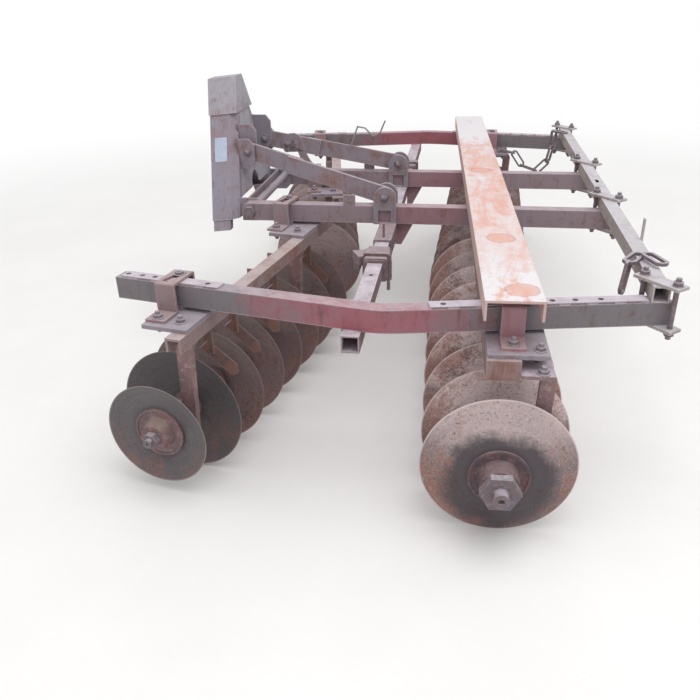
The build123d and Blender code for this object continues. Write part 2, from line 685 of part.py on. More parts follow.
def mast_run(section, low, high):
    """A plan section, as x and inset from the V's outer line, run up the left leg."""
    start = MAST_SLOPE * low - MAST_FOOT_Y
    points = [(x, start + inset * MAST_STEP) for x, inset in section]
    face = Pos(0, 0, low) * make_face(Polyline(*points, close=True))
    rise = high - low
    return Solid.extrude(face.faces()[0], Vector(0, MAST_SLOPE * rise, rise))


def mast():
    """Left leg of the mast, and its head with the web across the V's back."""
    depth = MAST_DEPTH
    wall = MAST_WALL
    width = MAST_LEG_WIDTH
    back, side = MAST_CORNER
    split = MAST_HEIGHT - MAST_HEAD_HEIGHT
    section = [
        (0, 0), (depth - back, 0), (depth, side), (depth, width),
        (depth - wall, width), (depth - wall, side + wall / 2), (depth - back - wall / 2, wall), (wall, wall),
        (wall, width), (0, width),
    ]
    leg = mast_run(section, MAST_SHOE, split)
    inset = wall / 2
    heel = depth - back - wall
    shoe = [(inset, inset), (heel, inset), (heel, MAST_SHOE_WIDTH), (inset, MAST_SHOE_WIDTH)]
    leg += mast_run(shoe, 0, MAST_SHOE)
    front = Plane(origin=(0, 0, 0), x_dir=(0, 1, 0), z_dir=(1, 0, 0))
    extra = MAST_HEAD_EXTRA
    head = Pos(-extra, 0, 0) * polygon(mast_outline(-extra, split, MAST_HEIGHT), front, depth + 2 * extra)
    throat = polygon(mast_outline(wall, split - 1, MAST_HEIGHT - 2 * wall), front, depth - 2 * wall)
    head -= Pos(wall, 0, 0) * throat
    web = Pos(depth - wall, 0, 0) * polygon(mast_outline(width, MAST_WEB_LOW, split), front, wall)
    arch = Pos(depth, 0, MAST_WEB_LOW) * Rot(Y=90) * Cylinder(MAST_WEB_ARCH, 4 * wall)
    place = Location((MAST_FOOT_X, 0, MAST_FOOT_Z), (0, -MAST_LEAN, 0))
    return place * leg, place * (head + (web - arch))


def mast_rear_x(z):
    """X of the mast's rear face at a height."""
    return MAST_FOOT_X + MAST_DEPTH / cos(radians(MAST_LEAN)) - (z - MAST_FOOT_Z) * tan(radians(MAST_LEAN))


def clevis():
    """Two plates on the mast's rear face that hold the brace's front pin."""
    plates = []
    pin_x, pin_y, pin_z = BRACE_FRONT
    nose = pin_x + CLEVIS_NOSE
    run, rise = CLEVIS_CORNER
    for side, drop, lift in CLEVIS_SIDES:
        low = pin_z - drop
        high = pin_z + lift
        y0 = pin_y + side * (CLEVIS_GAP + CLEVIS_PLATE) / 2 - CLEVIS_PLATE / 2
        outline = [
            (mast_rear_x(low), low), (nose - run, low), (nose, low + rise), (nose, high - rise),
            (nose - run, high), (mast_rear_x(high), high),
        ]
        plate = side_plate(outline, y0, CLEVIS_PLATE)
        plates.append(plate - cylinder_y(BRACE_PIN_RADIUS, pin_x, pin_z, y0 - 1, y0 + CLEVIS_PLATE + 1))
    reach = CLEVIS_GAP / 2 + 2 * CLEVIS_PLATE
    return plates, cylinder_y(BRACE_PIN_RADIUS, pin_x, pin_z, pin_y - reach, pin_y + reach)


def brace():
    """Two flat bars lapped side by side, with a pin hole in each outer end."""
    start = Vector(*BRACE_FRONT)
    end = Vector(*BRACE_REAR)
    along = (end - start).normalized()
    side = Vector(along.Y, -along.X, 0).normalized()
    plane = Plane(origin=start, x_dir=along, z_dir=side)
    length = (end - start).length
    half = BRACE_DEPTH / 2
    thick = BRACE_THICKNESS
    front_face = Pos(BRACE_LAP[1] / 2, 0) * Rectangle(BRACE_LAP[1], BRACE_DEPTH) + Circle(half)
    rear_face = Pos((BRACE_LAP[0] + length) / 2, 0) * Rectangle(length - BRACE_LAP[0], BRACE_DEPTH)
    rear_face += Pos(length, 0) * Circle(half)
    bar = extrude(plane.offset(-thick / 2) * front_face, amount=thick)
    bar += extrude(plane.offset(thick / 2) * rear_face, amount=thick)
    for x, y, z in (BRACE_FRONT, BRACE_REAR):
        bar -= cylinder_y(BRACE_PIN_RADIUS + JOURNAL_FIT, x, z, y - BRACE_DEPTH, y + BRACE_DEPTH)
    return bar


def brace_lug():
    """Plates on both sides of the inner beam, with the brace's rear bolt through them."""
    pin_x, _, pin_z = BRACE_REAR
    radius = (LUG_X[1] - LUG_X[0]) / 2
    x_mid = (LUG_X[0] + LUG_X[1]) / 2
    width, low, high = LUG_WINDOW
    window_x0, window_x1 = x_mid - width / 2, x_mid + width / 2
    plates = []
    for y0 in (INNER_BEAM_Y - BEAM_WIDTH / 2 - LUG_PLATE, INNER_BEAM_Y + BEAM_WIDTH / 2):
        y1 = y0 + LUG_PLATE
        plate = block(LUG_X[0], LUG_X[1], y0, y1, BEAM_BOTTOM, LUG_TOP - radius)
        plate += cylinder_y(radius, x_mid, LUG_TOP - radius, y0, y1)
        plate -= block(window_x0, window_x1, y0 - 1, y1 + 1, BEAM_BOTTOM + low, BEAM_BOTTOM + high)
        plates.append(plate - cylinder_y(BRACE_PIN_RADIUS, pin_x, pin_z, y0 - 1, y1 + 1))
    reach = BEAM_WIDTH / 2 + LUG_PLATE + CLEVIS_PLATE
    return plates, cylinder_y(BRACE_PIN_RADIUS, pin_x, pin_z, INNER_BEAM_Y - reach, INNER_BEAM_Y + reach)


def mast_foot():
    """Plate beside the inner beam's nose, with the pin that joins beam and mast."""
    pin_x = INNER_FRONT_X + BEAM_HEIGHT / 2
    y0 = INNER_BEAM_Y + BEAM_WIDTH / 2
    y1 = y0 + FOOT_PLATE
    low, high = (BEAM_BOTTOM + rise for rise in FOOT_PLATE_Z)
    inset, reach, cut = FOOT_NOSE
    outline = [
        (mast_rear_x(low), low), (pin_x + inset, low), (pin_x + reach, low + cut),
        (pin_x + reach, high - cut), (pin_x + inset, high), (mast_rear_x(high), high),
    ]
    plate = side_plate(outline, y0, FOOT_PLATE)
    plate -= cylinder_y(FOOT_PIN_RADIUS, pin_x, BEAM_MIDDLE, y0 - 1, y1 + 1)
    nose_y = INNER_BEAM_Y - BEAM_WIDTH / 2
    pin = cylinder_y(FOOT_PIN_RADIUS, pin_x, BEAM_MIDDLE, nose_y, y1)
    pin += hexagon_y(2 * FOOT_PIN_RADIUS, pin_x, BEAM_MIDDLE, nose_y - FOOT_PIN_RADIUS, nose_y)
    return plate, pin


def cross_shaft():
    """Round shaft and flat bar between the inner beams' noses."""
    reach = -INNER_BEAM_Y - BEAM_WIDTH / 2 - FOOT_PLATE
    x, z, radius = CROSS_SHAFT
    shaft = cylinder_y(radius, x, z, -reach, reach)
    x, z, thickness, height = CROSS_BAR
    return shaft, block(x - thickness / 2, x + thickness / 2, -reach, reach, z - height / 2, z + height / 2)


def chain_link(start, end, flat):
    """Oval link of bevelled square bar, from the middle of one bend to that of the other."""
    plane = Plane(origin=(start + end) / 2, x_dir=end - start, z_dir=flat)
    rings = []
    for grow in (LINK_BAR / 2, -LINK_BAR / 2):
        half = (end - start).length / 2 + grow
        wide = LINK_WIDTH / 2 + grow
        cut = wide * LINK_CORNER
        points = [
            (half, wide - cut), (half - cut, wide), (cut - half, wide), (-half, wide - cut),
            (-half, cut - wide), (cut - half, -wide), (half - cut, -wide), (half, cut - wide),
        ]
        rings.append(make_face(Polyline(*points, close=True)))
    outer, inner = rings
    return extrude(plane.offset(-LINK_BAR / 2) * (outer - inner), amount=LINK_BAR)


def chain(runs):
    """Links that hang from each other, each turned across the one before, joined where they touch."""
    body = None
    for start, twist, ways in runs:
        place = Vector(*start)
        flat = Vector(0, 0, 1)
        for way in ways:
            along = Vector(*way).normalized()
            flat = (flat - along * flat.dot(along)).normalized()
            end = place + along * LINK_LENGTH
            link = chain_link(place, end, flat)
            body = link if body is None else body + link
            place = end - along * (LINK_BAR - LINK_OVERLAP)
            flat = along.cross(flat).rotate(Axis((0, 0, 0), tuple(along)), twist)
    return body


def latch_wire():
    """Bent round wire, with its lower end along the right brace's rear bar."""
    (x0, y0, z0), (x1, y1, z1) = BRACE_FRONT, BRACE_REAR
    lean = (y0 - y1) / (x1 - x0)
    drop = (z0 - z1) / (x1 - x0)
    stretch = hypot(1, lean)
    points = []
    for x, inside, rise in LATCH_WIRE:
        off = BRACE_THICKNESS / 2 - LATCH_WIRE_RADIUS - JOURNAL_FIT - inside
        points.append(Vector(x, lean * (x - x0) - y0 + stretch * off, z0 - drop * (x - x0) + rise))
    body = None
    for start, end in zip(points, points[1:]):
        run = end - start
        rod = extrude(Plane(origin=start, z_dir=run) * Circle(LATCH_WIRE_RADIUS), amount=run.length)
        rod += Pos(*end) * Sphere(LATCH_WIRE_RADIUS)
        body = rod if body is None else body + rod
    return body


# Root body
beam, strips = side_beam()
add_pair("side_beam", beam)
add_pair("beam_strips", *strips)
add_pair("inner_beam", inner_beam())
add("centre_tube", centre_tube())
add_pair("tube_clamp", *tube_clamp())
add("rear_tube", rear_tube())

clamp_plates = []
clamp_bolts = []
side_slope = (SIDE_REAR[1] - SIDE_BEND[1]) / (SIDE_REAR[0] - SIDE_BEND[0])
side_y = SIDE_BEND[1] + side_slope * (REAR_TUBE_X - SIDE_BEND[0])
for beam_y in (side_y, INNER_BEAM_Y, -INNER_BEAM_Y, -side_y):
    plates, bolts = clamp(beam_y)
    clamp_plates += plates
    clamp_bolts += bolts
add("rear_clamp_plates", *clamp_plates)
add("rear_clamp_bolts", *clamp_bolts)
add("ballast_channel", ballast_channel())
add("tie_chain_left", chain(LEFT_CHAIN))
add("tie_chain_right", chain(RIGHT_CHAIN))

leg, head = mast()
add_pair("mast_leg", leg)
add("mast_head", head)
clevis_plates, clevis_pin = clevis()
add_pair("mast_clevis", *clevis_plates)
add_pair("brace", brace())
lug_plates, lug_bolt = brace_lug()
add_pair("brace_lug", *lug_plates)
foot_plate, foot_pin = mast_foot()
add_pair("mast_foot", foot_plate)
add_pair("brace_pins", clevis_pin, lug_bolt, foot_pin)
add("cross_shaft", *cross_shaft())
add("latch_wire", latch_wire())

# Gangs and what hangs them from the frame
for gang in GANGS:
    at_ground = gang_frame(gang)
    at_shaft = gang_frame(gang, GANGS[gang]["radius"])
    shaft, discs, spools = gang_rotor(gang)
    add_pair(gang + "_shaft", at_shaft * shaft)
    add_pair(gang + "_discs", *[at_shaft * one for one in discs])
    add_pair(gang + "_spools", *[at_shaft * one for one in spools])
    add_pair(gang + "_gang_beam", at_ground * gang_beam(gang))
    add_pair(gang + "_bearing_arms", *[at_ground * bearing_arm(gang, gap) for gap in ARM_GAPS[gang]])
    sets = [strap_set(gang, inner) for inner in (False, True)]
    add_pair(gang + "_straps", *[at_ground * strap for strap, plate in sets])
    add_pair(gang + "_base_plates", *[at_ground * plate for strap, plate in sets])

# The origin is on the ground under the middle of the whole machine
boxes = [solid.bounding_box() for solids in nodes.values() for solid in solids]
middle_x = (min(box.min.X for box in boxes) + max(box.max.X for box in boxes)) / 2
print("middle x", round(middle_x, 3))
for name, solids in nodes.items():
    moved = [Pos(-middle_x, 0, 0) * piece for solid in solids for piece in solid.solids()]
    shape = moved[0] if len(moved) == 1 else Compound(children=moved)
    shape.label = name
    export_step(shape, f"parts/{name}.step")
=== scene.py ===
"""Looks of a mounted tandem disc harrow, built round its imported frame.

Lengths are in metres in the frame's axes: +X to the rear, +Y to the machine's
right, +Z up from the ground.
"""

import logging
import math
from dataclasses import dataclass
from enum import Enum

import bmesh
import bpy
from bpy.types import ID, Material, Mesh, Node, NodeSocket as Socket, NodeTree, Object
from mathutils import Matrix, Quaternion, Vector


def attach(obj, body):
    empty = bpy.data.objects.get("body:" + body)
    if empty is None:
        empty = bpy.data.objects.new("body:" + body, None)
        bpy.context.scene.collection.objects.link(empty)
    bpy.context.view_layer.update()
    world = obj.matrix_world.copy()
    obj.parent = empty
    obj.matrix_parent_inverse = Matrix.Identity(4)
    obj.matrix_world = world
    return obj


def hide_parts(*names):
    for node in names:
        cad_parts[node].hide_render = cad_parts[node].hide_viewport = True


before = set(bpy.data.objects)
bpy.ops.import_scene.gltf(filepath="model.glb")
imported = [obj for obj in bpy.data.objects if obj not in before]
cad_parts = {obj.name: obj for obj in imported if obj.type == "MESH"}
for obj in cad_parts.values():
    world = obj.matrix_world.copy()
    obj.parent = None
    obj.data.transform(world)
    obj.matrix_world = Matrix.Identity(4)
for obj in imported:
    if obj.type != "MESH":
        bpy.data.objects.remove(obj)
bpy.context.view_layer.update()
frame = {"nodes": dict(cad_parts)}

logging.basicConfig(level=logging.INFO, format="%(message)s")
log = logging.getLogger("harrow")

Number = Socket | float
Colour = Socket | str
Pair = tuple[float, float]
Point = tuple[float, float, float]
Seam = tuple[Vector, Vector]

UP = (0, 0, 1)
DOWN = (0, 0, -1)
ALONG = (1, 0, 0)
WAYS = (-1, 1)
WHITE = "FFFFFF"


def linear(code: str) -> tuple[float, float, float, float]:
    """Turn a screen colour into shader numbers by the sRGB curve.

    Args:
        code: six hexadecimal digits, red first.

    Returns:
        Linear red, green, blue and alpha.
    """
    channels = []
    for start in (0, 2, 4):
        value = int(code[start : start + 2], 16) / 255
        channels.append(value / 12.92 if value <= 0.04045 else ((value + 0.055) / 1.055) ** 2.4)
    return (*channels, 1.0)


class Gang(Enum):
    """The two pairs of disc gangs."""

    FRONT = "front"
    REAR = "rear"


class Side(Enum):
    """The machine's left, near the camera, and its right."""

    LEFT = -1
    RIGHT = 1


class Slot(Enum):
    """The record's material slot names for the added pieces; no piece is given one here."""

    RED_PAINT = "red_paint"
    DISC_STEEL = "disc_steel"
    BARE_STEEL = "bare_steel"
    WORN_STEEL = "worn_steel"


@dataclass(frozen=True)
class GangSizes:
    """Where a left gang lies, for its disc patterns and its dressing.

    Attributes:
        x: the outermost disc's place along the machine, from the frame's middle.
        y: the outermost disc's place across the machine.
        axle_z: the shaft's height.
        angle: the shaft's plan angle in degrees.
        discs: how many discs are on the shaft.
        radius: the discs' radius.
        outer_radius: the outermost disc's radius.
        dish: +1 where the rim stands nearer the middle than the disc's centre.
    """

    x: float
    y: float
    axle_z: float
    angle: float
    discs: int
    radius: float
    outer_radius: float
    dish: int


@dataclass(frozen=True)
class Seat:
    """What holds a left gang, in the gang's own axes.

    Attributes:
        straps: each strap's place behind the shaft and inward from the outermost disc.
        foot: from a strap's middle to the bolts in its feet.
        plate: the base plates' bolts, behind the shaft and off a strap's middle.
        arms: the gaps between the discs that have a bearing arm, counted from outside.
        seam: how far behind the shaft the base plates' long seams are.
    """

    straps: tuple[Pair, ...]
    foot: float
    plate: Pair
    arms: tuple[int, ...]
    seam: float


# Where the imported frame's origin is along the model
MIDDLE_X = 0.061126
# The gap under a plate that lies on another piece
SEATED = 0.0002
# The mast's lean, its foot's place along the model and above the ground, and its legs' depth
MAST_LEAN = math.radians(5.8)
MAST_FOOT = (-0.842, 0.615)
MAST_DEPTH = 0.131
DISC_PITCH = 0.1986
GANG_SIZES = {
    Gang.FRONT: GangSizes(
        x=-0.69831 - MIDDLE_X, y=-1.55074, axle_z=0.244, angle=-10.08,
        discs=8, radius=0.244, outer_radius=0.197, dish=-1,
    ),
    Gang.REAR: GangSizes(
        x=0.4898 - MIDDLE_X, y=-1.68405, axle_z=0.255, angle=1.76,
        discs=9, radius=0.255, outer_radius=0.255, dish=1,
    ),
}
SEATS = {
    Gang.FRONT: Seat(
        straps=((0.017, 0.19264), (-0.004, 1.22698)),
        foot=0.128, plate=(0.098, 0.120), arms=(0, 5), seam=0.0915,
    ),
    Gang.REAR: Seat(
        straps=((0.022, 0.24298), (-0.009, 1.34296)),
        foot=0.121, plate=(0.104, 0.136), arms=(0, 6), seam=0.0455,
    ),
}


def mast_back(z: float) -> float:
    """Where the mast's rear face is along the model at a height."""
    rise = z - MAST_FOOT[1]
    return MAST_FOOT[0] + MAST_DEPTH / math.cos(MAST_LEAN) - rise * math.tan(MAST_LEAN)


def add_node(tree: NodeTree, kind: str, values: dict | None = None, **settings: object) -> Node:
    """Add a node to a tree.

    Args:
        tree: the tree.
        kind: the node's type name.
        values: input values or links, by socket name or number.
        settings: the node's own properties.

    Returns:
        The new node.
    """
    made = tree.nodes.new(kind)
    for key, value in settings.items():
        setattr(made, key, value)
    for key, value in (values or {}).items():
        if isinstance(value, Socket):
            tree.links.new(value, made.inputs[key])
        else:
            made.inputs[key].default_value = value
    return made


class Shader:
    """A material's node tree, written as short calls."""

    def __init__(self, name: str) -> None:
        """Start a material with a principled shader.

        Args:
            name: the material's name.
        """
        self.material = bpy.data.materials.new(name)
        self.material.use_nodes = True
        self.tree = self.material.node_tree
        self.tree.nodes.clear()
        self.output = self.tree.nodes.new("ShaderNodeOutputMaterial")
        self.surface = self.tree.nodes.new("ShaderNodeBsdfPrincipled")
        self.tree.links.new(self.surface.outputs["BSDF"], self.output.inputs["Surface"])
        self.place = self.tree.nodes.new("ShaderNodeTexCoord").outputs["Object"]

    def node(self, kind: str, values: dict | None = None, **settings: object) -> Node:
        """Add a node to the material."""
        return add_node(self.tree, kind, values, **settings)

    def turned(self, source: Socket, centre: Point, angle: float) -> Socket:
        """Coordinates about a centre, turned about the upright axis by radians."""
        values = {"Vector": source, "Location": centre, "Rotation": (0, 0, angle)}
        return self.node("ShaderNodeMapping", values, vector_type="TEXTURE").outputs[0]

    def scaled(self, source: Socket, scale: Point) -> Socket:
        """Coordinates stretched along their axes."""
        return self.node("ShaderNodeMapping", {"Vector": source, "Scale": scale}).outputs[0]

    def vector(self, x: Number, y: Number, z: Number) -> Socket:
        """A vector from its coordinates."""
        return self.node("ShaderNodeCombineXYZ", {0: x, 1: y, 2: z}).outputs[0]

    def noise(
        self, scale: float, detail: float = 5, rough: float = 0.6,
        source: Socket | None = None, warp: float = 0,
    ) -> Socket:
        """Cloudy values from 0 to 1.

        Args:
            scale: clouds per metre.
            detail: how many finer layers.
            rough: how strong the finer layers are.
            source: the coordinates, the object's own if none.
            warp: how much the clouds are twisted.

        Returns:
            The value socket.
        """
        values = {"Vector": source or self.place, "Scale": scale, "Detail": detail}
        values |= {"Roughness": rough, "Distortion": warp}
        return self.node("ShaderNodeTexNoise", values).outputs[0]

    def math(self, operation: str, first: Number, second: Number = 0.0) -> Socket:
        """The result of a calculation with one or two values."""
        return self.node("ShaderNodeMath", {0: first, 1: second}, operation=operation).outputs[0]

    def plus(self, first: Number, second: Number) -> Socket:
        """The sum of two values."""
        return self.math("ADD", first, second)

    def minus(self, first: Number, second: Number) -> Socket:
        """The difference of two values."""
        return self.math("SUBTRACT", first, second)

    def times(self, first: Number, second: Number) -> Socket:
        """The product of two values."""
        return self.math("MULTIPLY", first, second)

    def step(
        self, value: Socket, low: Number, high: Number, start: Number = 0.0, end: Number = 1.0,
    ) -> Socket:
        """A smooth step from start to end while a value goes from low to high."""
        values = {"Value": value, "From Min": low, "From Max": high, "To Min": start, "To Max": end}
        return self.node("ShaderNodeMapRange", values, interpolation_type="SMOOTHSTEP").outputs[0]

    def mix(self, factor: Number, first: Colour, second: Colour, blend: str = "MIX") -> Socket:
        """Blend two colours.

        Args:
            factor: the share of the second.
            first: a colour socket or a screen colour.
            second: the same.
            blend: the way of blending.

        Returns:
            The blended colour.
        """
        values = {0: factor}
        for key, colour in ((6, first), (7, second)):
            values[key] = linear(colour) if isinstance(colour, str) else colour
        return self.node("ShaderNodeMix", values, data_type="RGBA", blend_type=blend).outputs[2]

    def blend(self, *parts: tuple[Socket, float]) -> Socket:
        """Add values by their shares.

        Args:
            parts: each value socket and its share.

        Returns:
            The sum.
        """
        total = 0.0
        for value, share in parts:
            values = {0: value, 1: share, 2: total}
            total = self.node("ShaderNodeMath", values, operation="MULTIPLY_ADD").outputs[0]
        return total

    def mottled(self, colour: Socket, value: Socket, share: float) -> Socket:
        """Lighten and darken a colour by a value."""
        grey = self.node("ShaderNodeCombineColor", dict.fromkeys(range(3), value)).outputs[0]
        return self.mix(share, colour, grey, "OVERLAY")

    def axis(self, source: Socket, letter: str) -> Socket:
        """One coordinate of a vector."""
        return self.node("ShaderNodeSeparateXYZ", {0: source}).outputs[letter]

    def edges(self, radius: float) -> Socket:
        """Where the surface turns a corner, from 0 on flats to 1 on edges.

        Args:
            radius: how wide the band along an edge is.

        Returns:
            The value socket.
        """
        rounded = self.node("ShaderNodeBevel", {"Radius": radius}, samples=4).outputs[0]
        flat = self.node("ShaderNodeNewGeometry").outputs["Normal"]
        dot = self.node("ShaderNodeVectorMath", {0: rounded, 1: flat}, operation="DOT_PRODUCT")
        return self.step(self.minus(1.0, dot.outputs["Value"]), 0.01, 0.22)

    def upward(self) -> Socket:
        """How far the surface faces the sky."""
        normal = self.node("ShaderNodeNewGeometry").outputs["Normal"]
        return self.step(self.axis(normal, "Z"), 0.35, 0.95)

    def chipped(
        self, colour: Socket, bare: str, band: float, ragged: Socket, share: float,
    ) -> Socket:
        """Let a ragged band along the edges show a share of another colour."""
        return self.mix(self.times(self.times(self.edges(band), ragged), share), colour, bare)

    def finish(
        self, colour: Socket, rough: Socket, bump: Socket | None = None,
        depth: float = 0.3, reach: float = 0.002, metal: float = 0.0,
    ) -> Material:
        """Join the colour, roughness and bump to the shader.

        Args:
            colour: the base colour socket.
            rough: the roughness socket.
            bump: the height socket, if any.
            depth: the bump's strength.
            reach: the bump's height in metres.
            metal: how metallic the surface is.

        Returns:
            The finished material.
        """
        self.tree.links.new(colour, self.surface.inputs["Base Color"])
        self.tree.links.new(rough, self.surface.inputs["Roughness"])
        self.surface.inputs["Metallic"].default_value = metal
        if bump is not None:
            values = {"Strength": depth, "Distance": reach, "Height": bump}
            raised = self.node("ShaderNodeBump", values).outputs[0]
            self.tree.links.new(raised, self.surface.inputs["Normal"])
        return self.material


@dataclass(frozen=True)
class WeatheredPaint:
    """Old paint that fades, wears through to rust and gathers dust.

    Attributes:
        name: the material's name.
        paint: the paint where it has kept its colour.
        faded: the paint where sun and mud have dulled it.
        grime: dark brown dirt in streaks and hollows.
        rust: the rust that shows through.
        dust: what lies on faces that look up and along bare edges.
        kept: the share of paint that kept its colour.
        rusting: the share that rusts.
        dusty: how much dust lies on top faces.
        worn: how bare the edges are.
        zone: where along the machine the paint kept its colour best, and how far that reaches.
        soiled: the height below which soil has taken the paint off, if above 0.
        dented: how deep the shallow dents are, against the fine grain.
    """

    name: str
    paint: str
    faded: str
    grime: str
    rust: str
    dust: str
    kept: float = 0.4
    rusting: float = 0.35
    dusty: float = 0.5
    worn: float = 0.5
    zone: Pair | None = None
    soiled: float = 0.0
    dented: float = 4.0

    def build(self) -> Material:
        """Make the node material.

        Returns:
            The material.
        """
        make = Shader(self.name)
        broad = make.noise(2.3, 4, 0.55, warp=0.6)
        middle = make.noise(11, 8, 0.68, warp=0.4)
        fine = make.noise(95, 6, 0.7)
        grain = make.noise(340, 4, 0.7)
        streaks = make.noise(9, 5, 0.7, make.scaled(make.place, (5, 5, 0.5)))
        share = make.blend((broad, 0.45), (streaks, 0.15), (middle, 0.4))
        if self.zone:
            away = make.math("ABSOLUTE", make.minus(make.axis(make.place, "X"), self.zone[0]))
            near = make.step(away, 0.2 * self.zone[1], self.zone[1], 0.13, -0.12)
            share = make.plus(share, near)
        keeps = make.step(share, 0.56 - self.kept * 0.3, 0.76 - self.kept * 0.2)
        colour = make.mix(keeps, self.faded, self.paint)
        soot = make.step(make.blend((streaks, 0.6), (middle, 0.4)), 0.50, 0.68, 0.0, 0.75)
        colour = make.mix(soot, colour, self.grime)
        blotch = make.blend((middle, 0.6), (fine, 0.4))
        rusts = make.step(blotch, 0.64 - self.rusting * 0.3, 0.71 - self.rusting * 0.25)
        colour = make.mix(make.times(rusts, 0.7), colour, self.rust)
        if self.soiled:
            level = make.plus(make.axis(make.place, "Z"), make.times(middle, 0.05))
            earth = make.mix(make.step(middle, 0.4, 0.62), self.rust, self.grime)
            bare = make.step(level, self.soiled, self.soiled + 0.05, 0.85, 0.0)
            colour = make.mix(bare, colour, earth)
        flecks = make.step(make.blend((fine, 0.5), (grain, 0.5)), 0.60, 0.68, 0.0, 0.5)
        colour = make.mix(flecks, colour, self.dust)
        ragged = make.step(make.blend((fine, 0.55), (middle, 0.45)), 0.36, 0.56)
        colour = make.chipped(colour, self.dust, 0.007, ragged, self.worn)
        heaps = make.blend((make.noise(16, 7, 0.72), 0.7), (fine, 0.3))
        up = make.times(make.upward(), make.step(heaps, 0.36, 0.60, 0.45, 1.0))
        colour = make.mix(make.times(up, self.dusty), colour, self.dust)
        colour = make.mottled(colour, grain, 0.3)
        rough = make.step(blotch, 0.3, 0.8, 0.66, 0.94)
        dents = make.times(make.noise(15, 2, 0.5, warp=0.3), self.dented)
        height = make.plus(make.times(rusts, 0.4), make.plus(fine, dents))
        return make.finish(colour, rough, height, 0.4, 0.0014)


